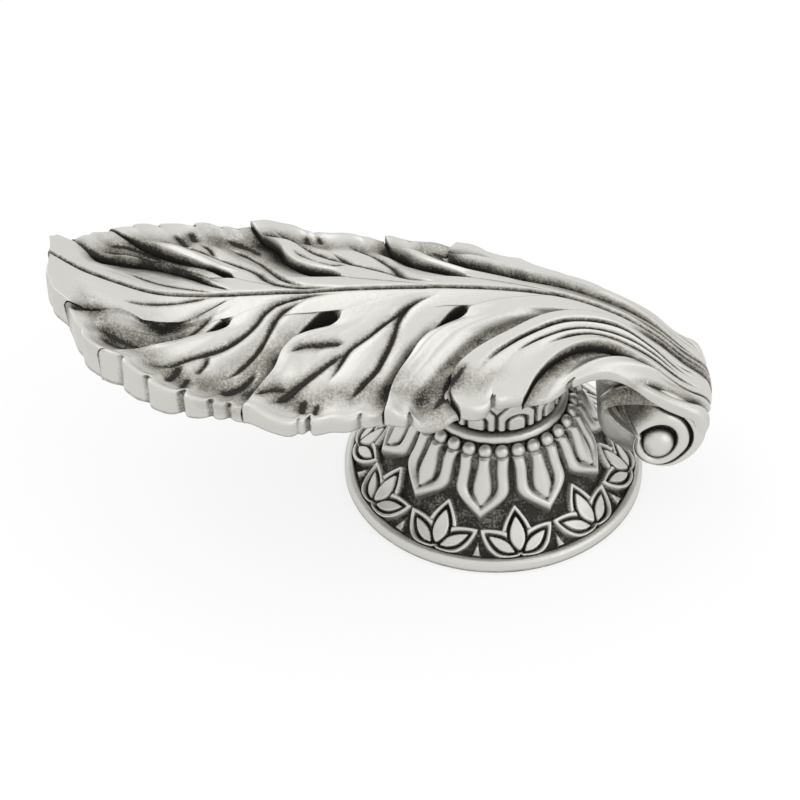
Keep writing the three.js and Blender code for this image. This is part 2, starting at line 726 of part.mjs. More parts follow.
function palmetteShare(across, radius) {
  const up = (PALMETTE_FOOT_RADIUS - radius) * PALMETTE_SLOPE;
  const shares = PALMETTE_LEAVES.map(([turn, length, halfWidth]) => {
    const along = up * Math.cos(rad(turn)) + across * Math.sin(rad(turn));
    const aside = Math.abs(across * Math.cos(rad(turn)) - up * Math.sin(rad(turn)));
    return smooth((halfWidth * bump(along / length) - aside) / PALMETTE_SOFTNESS + 0.3);
  });
  return Math.max(...shares) * smooth(up / PALMETTE_SOFTNESS + 0.2);
}

function plateRelief(degrees, radius) {
  const sector = 360 / PLATE_SECTORS;
  const fromPetal = ((((degrees - PETAL_TURN) % sector) + sector * 1.5) % sector) - sector / 2;
  const acrossPetal = rad(Math.abs(fromPetal)) * radius;
  const fromPalmette = fromPetal - Math.sign(fromPetal || 1) * (sector / 2);
  const acrossPalmette = rad(fromPalmette) * radius;
  const petal = PETAL_RELIEF * petalShare(acrossPetal, radius);
  return Math.max(petal, PALMETTE_RELIEF * palmetteShare(acrossPalmette, radius));
}

function plateBody() {
  const before = [
    [0, 0],
    [PLATE_RADIUS - 0.3, 0],
    [PLATE_RADIUS, 0.4],
    [PLATE_RADIUS, RIM_HEIGHT - 0.4],
    [PLATE_RADIUS - 0.5, RIM_HEIGHT],
    [PLATE_RADIUS - RIM_WIDTH, RIM_HEIGHT - 0.15],
  ];
  const after = [
    [9, 10.9],
    [8.45, 11.95],
    [COLLAR_RADIUS, 12.4],
    [COLLAR_RADIUS - 0.15, 12.95],
    [COLLAR_RADIUS - 0.45, PLATE_TOP],
    [0, PLATE_TOP],
  ];
  const profile = [...before, ...PLATE_FACE, ...after].reverse();
  const firstFace = after.length;
  const isFace = (i) => i >= firstFace && i < firstFace + PLATE_FACE.length;
  const rows = span(PLATE_SECTORS).slice(0, -1).flatMap((share) => {
    const middle = PETAL_TURN + share * 360;
    return sectorColumns(PLATE_RADIUS).map((_, column) =>
      profile.map(([r, z], i) => {
        const degrees = middle + sectorColumns(Math.max(r, PETAL_TOP_RADIUS))[column];
        const height = isFace(i) ? plateRelief(degrees, r) : 0;
        const slope = rad(mix(...FACE_SLOPE, smooth((r - PETAL_TOP_RADIUS) / FACE_SLOPE_RUN)));
        const out = r + height * Math.sin(slope);
        return [
          out * Math.cos(rad(degrees - 90)), out * Math.sin(rad(degrees - 90)), z + height * Math.cos(slope),
        ];
      }),
    );
  });
  const surface = new Surface();
  surface.grid([...rows, rows[0]], true);
  return surface.solid();
}

// The socket for the knob's spigot, and the way through for the screw.
function plateHole() {
  const socketEnd = PLATE_TOP - SPIGOT_LENGTH;
  const socketRadius = SPIGOT_RADIUS + FIT_GAP;
  const past = 1;
  const profile = [
    [0, -past],
    [SCREW_WAY_RADIUS, -past],
    [SCREW_WAY_RADIUS, socketEnd],
    [socketRadius, socketEnd],
    [socketRadius, PLATE_TOP + past],
    [0, PLATE_TOP + past],
  ];
  const lathe = new THREE.LatheGeometry(
    profile.map(([r, z]) => new THREE.Vector2(r, z)),
    32,
  );
  lathe.rotateX(Math.PI / 2);
  return toSolid(lathe);
}

function beadRing() {
  const count = PLATE_SECTORS * BEADS_PER_SECTOR;
  const bead = new THREE.SphereGeometry(BEAD_RADIUS, 6, 4);
  const beads = span(count)
    .slice(0, -1)
    .map((share) => {
      const angle = rad(PETAL_TURN - 90) + share * 2 * Math.PI;
      const one = bead.clone();
      one.rotateZ(angle);
      one.translate(BEAD_RING_RADIUS * Math.cos(angle), BEAD_RING_RADIUS * Math.sin(angle), BEAD_HEIGHT);
      return toSolid(one);
    });
  return wasm.Manifold.union(beads);
}

function backplate() {
  const material = new THREE.MeshStandardMaterial({ color: "#c4c1b8", metalness: 1, roughness: 0.38 });
  return toMesh("backplate", plateBody().add(beadRing()).subtract(plateHole()), material);
}

function threadedInsert() {
  const material = new THREE.MeshStandardMaterial({ color: "#b99a5b", metalness: 1, roughness: 0.4 });
  const low = PLATE_TOP + SEAT_GAP - SPIGOT_LENGTH;
  const high = low + INSERT_LENGTH;
  const loop = [
    [SCREW_HOLE_RADIUS, low],
    [SCREW_HOLE_RADIUS, high],
    [INSERT_RADIUS - INSERT_CHAMFER, high],
    [INSERT_RADIUS, high - INSERT_CHAMFER],
    [INSERT_RADIUS, low + INSERT_CHAMFER],
    [INSERT_RADIUS - INSERT_CHAMFER, low],
    [SCREW_HOLE_RADIUS, low],
  ];
  return toMesh("threaded_insert", roundSolid(loop, span(24, 0, 360).slice(0, -1)), material);
}

const group = new THREE.Group();
group.name = "cabinet_knob";
group.add(leafKnob(), backplate(), threadedInsert());

export default group;
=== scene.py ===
"""Looks for a leaf-shaped cabinet knob on a round backplate, in an antique silver finish.

The shapes repeat the solids' own curves with a much finer mesh. They add the finer relief, the patina,
and painted shade on the scroll where it lies under the leaf.
"""

import math

import bmesh
import bpy
import numpy as np
from mathutils import Matrix, Vector


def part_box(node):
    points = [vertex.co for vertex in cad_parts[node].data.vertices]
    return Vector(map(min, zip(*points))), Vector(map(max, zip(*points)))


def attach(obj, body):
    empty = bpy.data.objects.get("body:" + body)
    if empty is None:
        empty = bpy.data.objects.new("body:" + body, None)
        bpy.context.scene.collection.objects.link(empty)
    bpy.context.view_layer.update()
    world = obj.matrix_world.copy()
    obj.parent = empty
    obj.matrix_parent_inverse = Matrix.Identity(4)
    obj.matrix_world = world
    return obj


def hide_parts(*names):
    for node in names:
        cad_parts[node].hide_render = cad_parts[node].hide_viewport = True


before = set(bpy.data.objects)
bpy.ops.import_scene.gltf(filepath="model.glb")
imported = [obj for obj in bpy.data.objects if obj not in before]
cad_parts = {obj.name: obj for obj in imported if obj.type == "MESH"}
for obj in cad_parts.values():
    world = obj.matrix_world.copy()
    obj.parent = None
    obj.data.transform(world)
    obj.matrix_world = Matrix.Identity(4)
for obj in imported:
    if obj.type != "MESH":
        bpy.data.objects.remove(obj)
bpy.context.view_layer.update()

MM = 0.001

# Sizes are in millimetres. The backplate's overall size comes from the frame.
PLATE_LOW, PLATE_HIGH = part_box("backplate")
PLATE_RADIUS = (PLATE_HIGH[0] - PLATE_LOW[0]) / 2 / MM
PLATE_TOP = PLATE_HIGH[2] / MM
PLATE_SECTORS = 10  # petals, and palmettes between them
PLATE_TURNS = 720  # mesh steps round the plate
PLATE_FACE_STEPS = 105
RIM_HEIGHT = 1.7
RIM_WIDTH = 1.2
COLLAR_RADIUS = 8.75
COLLAR_GROOVE_HEIGHT = 11.95
COLLAR_GROOVE_WIDTH = 0.35
COLLAR_GROOVE_SOIL = 0.8
SCREW_WAY_RADIUS = 2.4
SOCKET_RADIUS = 5.5
SPIGOT_LENGTH = 6
BEADS_PER_SECTOR = 3
BEAD_RADIUS = 0.88
BEAD_RING_RADIUS = 9.15
BEAD_HEIGHT = 11.5
BEAD_SOIL = 0.05

# Petals: a round border with a point below, and a tongue in it. Up is from the petal's tip.
PETAL_TURN = -8  # degrees from the front to the nearest petal
PETAL_TIP_RADIUS = 13.1
PETAL_HALF_WIDTH = 3.4
PETAL_TOP_SHARE = 0.83  # the width at the top, as a share
PETAL_NARROWS = (2, 5)  # up where the narrowing starts, and its length
PETAL_CORNER = 2.6  # how sharply the side turns into the point
PETAL_RIB = 1.45
PETAL_RIB_REACH = 0.93  # share of its round section that shows
PETAL_RIB_HEIGHTS = (1.2, 0.8, 6)  # at the tip, at the top, and the length between them
PETAL_GROUND = 0.15
PETAL_RELIEF = 1.3
TONGUE_FOOT = 2.0
TONGUE_SWELL = 1.5
TONGUE_HALF_WIDTH = 1.25
TONGUE_TOP = (0.6, 3.8, 4)  # share of the width at its top, up where it narrows, and over what length

# Palmettes of three leaves, and the darts between them
PALMETTE_FOOT_RADIUS = 16.5
PALMETTE_SLOPE = 1.25  # length up the plate's slope for each millimetre of radius
PALMETTE_RELIEF = 0.85
PALMETTE_GROOVE = 0.24
PALMETTE_EDGE = 0.2  # width over which an inner leaf or a dart rises
PALMETTE_CORES = (0.9, 1.05)  # heights of the side leaves' and the middle leaf's inner leaf
# Degrees from the middle, length, half width, and the border's width
PALMETTE_LEAVES = ((0, 5.7, 1.85, 0.58), (52, 5.4, 1.8, 0.72), (-52, 5.4, 1.8, 0.72))
DART_HALF_WIDTH = 0.6
DART_LENGTH = 2.4
DART_RELIEF = 0.55

# Stem, with round arches cut into its foot and a fork between each two
SEAT_GAP = 0.3
STEM_RADIUS = 8.0
STEM_FLARE = 0.3
STEM_TOP = 26.4
STEM_TURNS = 480
STEM_STEPS = 14  # mesh rows to each straight piece of its profile
SPIGOT_RADIUS = 5.2
ARCH_COUNT = 10
ARCH_HALF_WIDTH = 1.25
ARCH_SPRING = 1.3
ARCH_SQUASH = 1.3
ARCH_TOP = 5
ARCH_LINE = 0.24
ARCH_DEPTH = 0.4
FORK_HEIGHT = 2.4
FORK_SLOPE = 0.9

# Leaf: mesh rows from the midrib to the edge, and thickness as (s along the leaf, thickness)
LEAF_ROWS = 76
LEAF_UNDER_ROWS = 9
MIDDLE_THICKNESS = [(-48, 4.4), (-30, 4.2), (3, 4.2), (11, 8.5), (16, 8), (23, 4.2)]
EDGE_THICKNESS = [(-45, 4.4), (-27, 2.0), (-15, 1.9), (-9, 1.1), (34, 1.1)]
THIN_START = 0.2  # share of the way out where the blade starts to thin
WALL_TURN = (8, 12)  # s where the wall starts to turn from straight down to square to the blade, length
LIP_RADIUS = 0.45
LIP_STEPS = 5
WALL_SHARES = (0.3, 0.6, 0.85, 1)
WALL_TUCK = 0.25
WALL_FADE = 0.8  # how much of the edge's patina is gone at the wall's foot
MIDRIB_GROOVE = 0.45
MIDRIB_HALF_WIDTH = 0.28
MIDRIB_SOIL = 0.9
MIDRIB_ROUND = 1.5
PARTING_WIDTH = 0.3
PARTING_DEPTH = 0.35
CREASE_HALF_WIDTH = 0.24
CREASE_SOIL_REACH = 1.6
CREASE_ENDS = (0.15, 0.12)  # shares of a flow line over which a crease starts and ends
UNDER_SOIL = 0.25
ROOT_SOIL = 0.5

# Scroll: middles of its barrel and of its two ends, (x, z)
SCROLL = (18.6, 12.8)
VOLUTE = (19.1, 10.6)
SCROLL_HALF_LENGTH = 7.9
SCROLL_EYE_RADIUS = 2.0
SCROLL_EYE_HEIGHT = 1.7


def smooth(t):
    t = np.clip(t, 0, 1)
    return t * t * (3 - 2 * t)


def mix(a, b, t):
    return a + (b - a) * t


def bell(t):
    return np.exp(-(t**2))


def grow(x, start, length):
    """0 up to start, and 1 from length beyond it."""
    return smooth((x - start) / length)


def table(pairs, x):
    """A value read from rising (place, value) pairs, eased between them."""
    places, values = np.array(pairs, float).T
    k = np.clip(np.searchsorted(places, x, side="right") - 1, 0, len(places) - 2)
    t = (x - places[k]) / (places[k + 1] - places[k])
    return mix(values[k], values[k + 1], smooth(t))


def curve_through(points, steps=40):
    """A centripetal curve through 2-D points, as (shares of its length, points)."""
    p = np.array(points, float)
    if len(p) == 2:
        return np.array([0.0, 1.0]), p
    p = np.vstack([2 * p[0] - p[1], p, 2 * p[-1] - p[-2]])
    out = []
    for a, b, c, d in zip(p[:-3], p[1:-2], p[2:-1], p[3:]):
        da, db, dc = (max(np.linalg.norm(v) ** 0.5, 1e-6) for v in (b - a, c - b, d - c))
        start = ((b - a) / da - (c - a) / (da + db) + (c - b) / db) * db
        end = ((c - b) / db - (d - b) / (db + dc) + (d - c) / dc) * db
        t = np.linspace(0, 1, steps, endpoint=False)[:, None]
        out.append(
            (2 * t**3 - 3 * t**2 + 1) * b
            + (t**3 - 2 * t**2 + t) * start
            + (3 * t**2 - 2 * t**3) * c
            + (t**3 - t**2) * end
        )
    out = np.vstack([*out, p[-2][None]])
    length = np.concatenate([[0], np.cumsum(np.linalg.norm(np.diff(out, axis=0), axis=1))])
    return length / length[-1], out


def smooth_line(pairs, x):
    """A value read from rising (place, value) pairs along a smooth curve through them."""
    points = curve_through(pairs)[1]
    return np.interp(x, points[:, 0], points[:, 1])


def along(curve, t):
    """The curve's two coordinates at shares t of its length."""
    shares, points = curve
    t = np.clip(t, 0, 1)
    return np.interp(t, shares, points[:, 0]), np.interp(t, shares, points[:, 1])


def place_object(name, data):
    thing = bpy.data.objects.new(name, data)
    bpy.context.scene.collection.objects.link(thing)
    return thing


def face(thing, place, away):
    """Puts a lamp or the camera at place, in metres, with its back to the direction away."""
    turn = away.to_track_quat("Z", "Y").to_matrix().to_4x4()
    thing.matrix_world = Matrix.Translation(place) @ turn


class Skin:
    """Grids of points in millimetres gathered into one mesh, each point with a share of darkening: patina,
    and on the scroll painted shade too.
    """

    def __init__(self):
        self.points = []
        self.patina_and_shade = []
        self.faces = []
        self.count = 0

    def grid(self, points, patina_and_shade, wrap=False):
        rows, columns = points.shape[:2]
        index = np.arange(rows * columns).reshape(rows, columns) + self.count
        if wrap:
            index = np.vstack([index, index[:1]])
        corners = (index[:-1, :-1], index[1:, :-1], index[1:, 1:], index[:-1, 1:])
        self.faces.extend(np.stack(corners, -1).reshape(-1, 4).tolist())
        self.points.append(points.reshape(-1, 3))
        self.patina_and_shade.append(np.broadcast_to(patina_and_shade, (rows, columns)).reshape(-1))
        self.count += rows * columns

    def polygon(self, points, patina_and_shade):
        self.faces.append(list(range(self.count, self.count + len(points))))
        self.points.append(points)
        self.patina_and_shade.append(np.full(len(points), patina_and_shade))
        self.count += len(points)

    def piece(self, name, material, node, slot):
        mesh = bpy.data.meshes.new(name)
        points = np.vstack(self.points) * MM
        mesh.from_pydata(points.tolist(), [], self.faces)
        patina_and_shade = mesh.attributes.new("patina_and_shade", "FLOAT", "POINT")
        patina_and_shade.data.foreach_set("value", np.concatenate(self.patina_and_shade).astype(np.float32))
        tidy_mesh(mesh)
        mesh.shade_smooth()
        mesh.materials.append(material)
        piece = place_object(name, mesh)
        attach(piece, "root")
        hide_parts(node)
        return piece


JOIN_DISTANCE = 0.002
THIN_DISTANCE = 0.0005


def tidy_mesh(mesh):
    """Joins the grids' shared points, and drops the faces that have no area."""
    work = bmesh.new()
    work.from_mesh(mesh)
    bmesh.ops.remove_doubles(work, verts=work.verts, dist=JOIN_DISTANCE * MM)
    bmesh.ops.dissolve_degenerate(work, edges=work.edges, dist=THIN_DISTANCE * MM)
    loose = [v for v in work.verts if not v.link_faces]
    bmesh.ops.delete(work, geom=loose, context="VERTS")
    bmesh.ops.recalc_face_normals(work, faces=work.faces)
    work.to_mesh(mesh)
    work.free()


# The leaf's midrib in side view, (x, z), from its tip over the stem and round the scroll.
SPINE_BODY = [
    (-51.5, 34.9), (-48.2, 32.4), (-44, 30.2), (-39.5, 28.5), (-33, 28.1), (-22, 28.8), (-10, 29.4),
    (0, 29.2), (8, 27.9), (14, 25.3), (18.8, 21.9), (22.3, 18.4),
]
# The spine round the scroll, (degrees about the scroll's middle, radius)
SPINE_TURN = [(28, 7.1), (12, 7.2), (-4, 7.25), (-20, 7.15), (-36, 6.9), (-52, 6.5), (-68, 6.1)]
SPINE_STEPS = 1200
NORMAL_REACH = 20  # steps to each side over which the spine's direction is evened out


def make_spine():
    """The spine: s, 0 over the stem and rising to the scroll, with x, z and the direction square to it."""
    turn = [
        (SCROLL[0] + r * math.cos(math.radians(angle)), SCROLL[1] + r * math.sin(math.radians(angle)))
        for angle, r in SPINE_TURN
    ]
    x, z = along(curve_through(SPINE_BODY + turn), np.linspace(0, 1, SPINE_STEPS))
    s = np.concatenate([[0], np.cumsum(np.hypot(np.diff(x), np.diff(z)))])
    s -= s[np.argmax(x >= 0)]
    dx, dz = np.gradient(x), np.gradient(z)
    kernel = np.hanning(2 * NORMAL_REACH + 1)
    kernel = kernel / kernel.sum()
    smoothed = [np.convolve(np.pad(v, NORMAL_REACH, mode="edge"), kernel, "valid") for v in (dx, dz)]
    run = np.hypot(*smoothed)
    return s, x, z, -smoothed[1] / run, smoothed[0] / run


SPINE = make_spine()
ROOT_S = SPINE[0][-1]

# Degrees by which the blade falls away from its midrib, (s, degrees)
DROOP = [
    (-54, 14), (-47, 14), (-42, 7), (-36, 9), (-30, 13), (-20, 21), (-8, 26), (2, 30), (9, 31), (15, 28),
    (22, 26), (27, 23), (32, 15), (38, 8),
]


def leaf_point(s, a, h, depth, side):
    """Points at s along the leaf, a out from its midrib, h above the plain blade, then depth below that."""
    x, z, nx, nz = (np.interp(s, SPINE[0], values) for values in SPINE[1:])
    fall = np.tan(np.radians(table(DROOP, s))) * (np.hypot(a, MIDRIB_ROUND) - MIDRIB_ROUND)
    turn = grow(s, *WALL_TURN)
    down_x, down_z = turn * nx, mix(1, nz, turn)
    length = np.hypot(down_x, down_z)
    up = h - fall
    parts = (x + nx * up - depth * down_x / length, side * a, z + nz * up - depth * down_z / length)
    return np.stack(parts, -1)


# The lines at which the leaflets part, from the scroll to the tip, as points (s, a) from the midrib out
FLOW_LINES = [
    [(ROOT_S, 0), (ROOT_S, 5.8)],
    [(36, 0), (35.6, 2.6), (34, 4.6), (31, 5.8), (27, 6.5)],
    [
        (34, 0), (33, 2), (30, 3.6), (26, 4.4), (21, 4.7), (17, 4.5),
        (14, 4.5), (11.5, 5.1), (8.2, 6.8), (5.4, 9.4), (4, 11.8),
    ],
    [
        (31, 0), (29.5, 1.2), (26, 1.9), (21, 2.1), (16, 1.9), (12.3, 1.8),
        (6.2, 3.1), (1.4, 5.5), (-3.3, 8.3), (-5.4, 10.3), (-5.6, 12.4), (-4.6, 14.2),
    ],
    [
        (8, 0), (4, 0.8), (0, 1.6), (-3.6, 2.7), (-6.9, 5),
        (-9.2, 7.2), (-10.5, 9.2), (-12.4, 11.6), (-13.4, 14.9),
    ],
    [
        (-6, 0), (-10, 0.8), (-14, 1.7), (-18.4, 3.1), (-22.6, 5.4),
        (-25, 8.3), (-26, 10.9), (-28, 13.2), (-29.4, 15.8),
    ],
    [
        (-20, 0), (-24, 0.9), (-27.5, 2), (-30.5, 3.3), (-33, 5.2),
        (-36.3, 7), (-39.3, 8.4), (-42, 9.4), (-45, 10.3),
    ],
    [
        (-29, 0), (-31, 0.7), (-33.4, 2.2), (-35.8, 3.8),
        (-38.6, 4.8), (-41.2, 4.8), (-45, 4.3), (-49.6, 5.3),
    ],
    [(-36, 0), (-41, 0), (-47, 0), (-54, 0)],
]

# The leaflets from the scroll to the tip. profile gives the blade's height across a leaflet, from its
# scroll side (0) to its tip side (1), and edge the points (s, a) of its outline. creases are (share across,
# depth, from, to), and notches in the edge are (share across, depth).
LEAFLETS = [
    {"columns": 16, "profile": [(0, 0), (1, 0.4)], "edge": [(32, 6.3)]},
    {
        "columns": 72,
        "profile": [
            (0, 0.4), (0.12, 0.3), (0.3, -0.5), (0.55, 0.5), (0.75, 0.3), (0.9, -0.6), (1, -0.9),
        ],
        "edge": [(23, 6.6), (19, 6.6), (16, 7), (13, 7.9), (10, 9.3), (7, 11.2)],
        "creases": [(0.3, 0.3, 0.1, 0.95)],
        "notches": [(0.72, 0.35)],
    },
    {
        "columns": 60,
        "profile": [(0, 0.9), (0.2, 0.7), (0.5, 0.9), (0.8, 1.3), (1, 1.2)],
        "edge": [(2.6, 12.0), (1, 12.4), (-2, 14), (-3.2, 14.3)],
        "creases": [(0.28, 0.5, 0.15, 0.8), (0.5, 0.6, 0.2, 0.85), (0.74, 0.8, 0.12, 0.9)],
        "notches": [(0.48, 0.3)],
    },
    {
        "columns": 54,
        "profile": [(0, -1.2), (0.15, -1), (0.45, -0.9), (0.75, 0.3), (0.92, 1.3), (1, 1.2)],
        "edge": [(-6.4, 15.6), (-8, 15.9), (-11, 15.4)],
        "notches": [(0.66, 0.3)],
    },
    {
        "columns": 88,
        "profile": [
            (0, -1.2), (0.15, -0.4), (0.35, -0.1), (0.55, -0.3), (0.75, -0.1), (0.92, 1.2), (1, 1.1),
        ],
        "edge": [(-15.4, 15.6), (-17.6, 16.1), (-19.5, 16), (-21.4, 16.4), (-24, 17.1), (-27.4, 17)],
        "notches": [(0.18, 0.2), (0.55, 0.45), (0.62, 0.3)],
    },
    {
        "columns": 78,
        "profile": [
            (0, -1.3), (0.15, -0.9), (0.35, -0.7), (0.55, -0.3), (0.75, 0.2), (0.9, 1), (1, 0.8),
        ],
        "edge": [(-32.3, 15.5), (-34.6, 15.3), (-36.6, 14.7), (-39.6, 13.6), (-42.5, 12)],
        "notches": [(0.1, 0.25), (0.22, 0.3), (0.42, 0.45), (0.66, 0.35), (0.87, 0.3)],
    },
    {
        "columns": 46,
        "profile": [(0, -1.1), (0.3, -1.2), (0.6, -0.8), (0.85, 0.4), (0.95, 0.9), (1, 0.8)],
        "edge": [(-46.6, 9.4), (-48, 7.8)],
        "notches": [(0.5, 0.2)],
    },
    {
        "columns": 36,
        "profile": [(0, -0.4), (0.3, -0.4), (0.6, -0.2), (0.8, -0.1), (1, 0)],
        "edge": [(-51.8, 4.6), (-53.3, 2.6)],
        "notches": [(0.45, 0.2)],
    },
]

# Veins cut into the leaflets: (half width, depth, points (s, a))
VEINS = [
    (0.13, 0.15, [(-32.5, 0.3), (-36, 1.1), (-40, 1.9), (-44, 2.6)]),
    (0.2, 0.4, [
        (-46.7, 6.1), (-44.7, 6.9), (-42.3, 7.5), (-39.9, 7.6), (-36.3, 6), (-33.9, 3.9), (-32, 1.9),
    ]),
    (0.16, 0.2, [(-45.5, 7.8), (-43.4, 8.6), (-41, 8.6), (-38.5, 7.7)]),
    (0.24, 0.6, [
        (-49.5, 6.2), (-47.3, 4.9), (-45, 4.2), (-43.2, 4.2), (-41, 5), (-38.7, 5.2), (-35.7, 3.9),
        (-33.3, 2.1), (-31, 0.6),
    ]),
    (0.34, 0.5, [(-49.8, 5.9), (-48.5, 5.4), (-46.5, 4.6), (-44.5, 4.1)]),
    (0.2, 0.65, [
        (-18, 0.5), (-23.2, 0.9), (-26.5, 2.2), (-28.3, 4.7), (-31, 7), (-35, 9.2), (-38, 10.6),
        (-40.7, 10.7),
    ]),
    (0.2, 0.6, [
        (-22, 0.8), (-25.2, 3), (-26.4, 4.9), (-27.7, 7.3), (-29.4, 9.4), (-31, 10.8), (-32.6, 12),
    ]),
    (0.18, 0.5, [(-33.4, 8.6), (-33.7, 9.8), (-34.8, 11.4)]),
    (0.2, 0.5, [(-36.4, 10.1), (-36.9, 11.3), (-38, 12.8)]),
    (0.3, 0.6, [(-27.9, 9.8), (-29, 11.4), (-31, 12.9), (-32.6, 13.5)]),
    (0.24, 0.4, [(-35.4, 11.7), (-35.9, 12.7), (-36.2, 13.7)]),
    (0.18, 0.6, [
        (-7.1, 1.2), (-9.5, 1.9), (-11.3, 3), (-13.1, 4.4), (-15.5, 6.2), (-17.3, 7.4), (-18.5, 9.2),
        (-20.1, 11.9),
    ]),
    (0.2, 0.6, [(-17.3, 6.9), (-20.2, 6.9), (-22.6, 7.7), (-24.4, 9.1)]),
    (0.22, 0.6, [(-17.3, 7.4), (-19.6, 9), (-22, 11), (-23.8, 12.6), (-25.6, 14.2), (-27, 15.2)]),
    (0.16, 0.4, [(-24.4, 12.7), (-26.6, 13.4), (-28.3, 14)]),
    (0.24, 0.8, [
        (-9, 1.6), (-10.3, 2.3), (-11.5, 3.9), (-12.3, 6.2), (-13.4, 8.3), (-14.3, 9.8), (-15.5, 11),
        (-17.9, 13.7),
    ]),
    (0.26, 0.4, [(-22.6, 13.4), (-22.8, 14.6), (-22.8, 15.6)]),
    (0.2, 0.3, [(-21, 13.8), (-21.3, 14.8), (-21.4, 15.6)]),
    (0.25, 0.25, [(-3.4, 9.3), (-5.6, 11.6), (-8, 14)]),
]
VEIN_STEPS = 16  # straight pieces to a vein
VEIN_FADE = 0.25  # share of a vein's length over which each end thins out
VEIN_ENDS = (0.15, 0.1)  # how far along that fade its two ends are
VEIN_THIN = 0.6  # the width at the ends, as a share
VEIN_POWER = 1.4
VEIN_GROOVE = 0.65  # share of the depth that is the groove, the rest being its banks
VEIN_REACH = 3.5  # half widths over which the banks fall
VEIN_SOIL = 0.72
VEIN_BANK_SOIL = 0.28

# The rim along the leaf's edge and the shallow dish inside it. Both fade out at the root and the tip,
# (s, length).
EDGE_RIM = 0.35
EDGE_RIM_WIDTH = 0.8
EDGE_DISH = 0.4
EDGE_DISH_AT = 3.2
EDGE_DISH_WIDTH = 1.8
EDGE_DISH_SOIL = 0.3
EDGE_ROOT = (4, 8)
EDGE_TIP = (-50, 4)

# Drop-shaped pits where leaflets part: flow line to (from, to, width, depth)
EYES = {4: (0.42, 0.62, 1.35, 2.4), 5: (0.42, 0.64, 2.1, 2.6), 6: (0.43, 0.57, 1.1, 1.8)}
EYE_ROUND = 0.3  # share of a pit's length that is its round end
EYE_TAIL_POWER = 0.85
EYE_WALL_POWER = 4
EYE_STEPS = (-0.9, -0.6, -0.3, 0, 0.3, 0.6, 0.9)
# Where each parting starts along its flow line, and the share of its relief that is left at the edge
PARTING_STARTS = [0, 0.05, 0.06, 0.08, 0.38, 0.4, 0.4, 0.1, 0]
EDGE_RELIEF = [0.5, 0.5, 0.6, 0.5, 0.4, 0.35, 0.15, 0.1, 0.1]
PARTING_OPENS = 0.1  # share of a flow line over which a parting opens
PARTING_DEEPENS = 0.08
PARTING_SOIL = 0.7
MIDRIB_CLEAR = 0.08
SIDE_STEP = 0.03  # shares to both sides that give a flow line's direction
RELIEF_AT_MIDRIB = 0.03
RELIEF_RISE = 0.4
EDGE_RELIEF_SHARES = (0.75, 0.25)
LEAST_WIDTH = 0.2
LOW_SOIL = 0.55
LOW_SOIL_START = 0.1
LOW_SOIL_RUN = 1.2
NOTCH_HALF_WIDTH = 0.55
NOTCH_POWER = 1.6
NOTCH_LINE = 14  # a usual length of a flow line, which turns a notch's depth into a share
NOTCH_FALL = 6
SWELL_POWER = 3

FLOW_CURVES = [curve_through(line) for line in FLOW_LINES]
EDGE_CURVES = [
    curve_through([FLOW_LINES[k][-1], *leaflet["edge"], FLOW_LINES[k + 1][-1]])
    for k, leaflet in enumerate(LEAFLETS)
]


def leaf_rows(count):
    """Shares from the midrib to the edge, closer together at both ends."""
    t = np.linspace(0, 1, count + 1)
    return mix(t, smooth(t), 0.55)


def relief_share(k, t, r):
    """The share of a leaflet's relief at r: it grows from where the partings beside it start."""
    start = mix(PARTING_STARTS[k], PARTING_STARTS[k + 1], t)
    edge = mix(EDGE_RELIEF[k], EDGE_RELIEF[k + 1], t)
    rise = mix(RELIEF_AT_MIDRIB, 1, grow(r, start, RELIEF_RISE))
    return rise * mix(1, edge, grow(r, *EDGE_RELIEF_SHARES))


def eye_share(line, r):
    """A pit's width along a parting, as a share: round towards the scroll, pointed towards the edge."""
    if line not in EYES:
        return np.zeros_like(r)
    start, end = EYES[line][:2]
    t = (r - start) / (end - start)
    round_end = np.sqrt(np.clip(1 - (1 - t / EYE_ROUND) ** 2, 0, 1))
    tail = np.clip((1 - t) / (1 - EYE_ROUND), 0, 1) ** EYE_TAIL_POWER
    return np.where((t <= 0) | (t >= 1), 0, np.where(t < EYE_ROUND, round_end, tail))


def parting_point(line, r, way):
    """The parting line's point at r, moved to its scroll side (-1) or its tip side (+1)."""
    s, a = along(FLOW_CURVES[line], r)
    if not 1 < line < len(FLOW_LINES) - 1:
        return s, a
    opening = smooth((r - PARTING_STARTS[line] + PARTING_OPENS / 2) / PARTING_OPENS)
    width = PARTING_WIDTH * opening * smooth(r / MIDRIB_CLEAR)
    if line in EYES:
        width = width + EYES[line][2] * eye_share(line, r)
    s0, a0 = along(FLOW_CURVES[line], r - SIDE_STEP)
    s1, a1 = along(FLOW_CURVES[line], r + SIDE_STEP)
    run = np.hypot(s1 - s0, a1 - a0)
    move = way * width / 2 / run
    return s - move * (a1 - a0), np.maximum(0, a + move * (s1 - s0))


def leaflet_width(k, r):
    s0, a0 = along(FLOW_CURVES[k], r)
    s1, a1 = along(FLOW_CURVES[k + 1], r)
    return np.hypot(s1 - s0, a1 - a0) + LEAST_WIDTH


def crease(distance):
    """Depth and patina of a crease, as shares, at a distance from its middle."""
    away = distance / CREASE_HALF_WIDTH
    return np.exp(-away), bell(away / CREASE_SOIL_REACH)


def leaflet_height(k, t, r):
    """Height over the plain blade and patina of leaflet k, at shares t across it and r out along it."""
    leaflet = LEAFLETS[k]
    share = relief_share(k, t, r)
    shape = table(leaflet["profile"], t)
    height = share * shape
    patina_and_shade = LOW_SOIL * share * smooth((-LOW_SOIL_START - shape) / LOW_SOIL_RUN)
    width = leaflet_width(k, r)
    for at, depth, start, end in leaflet.get("creases", ()):
        window = smooth((r - start) / CREASE_ENDS[0]) * smooth((end - r) / CREASE_ENDS[1])
        cut, dark = crease(np.abs(t - at) * width)
        height = height - depth * window * cut
        patina_and_shade = np.maximum(patina_and_shade, window * dark)
    return height, patina_and_shade


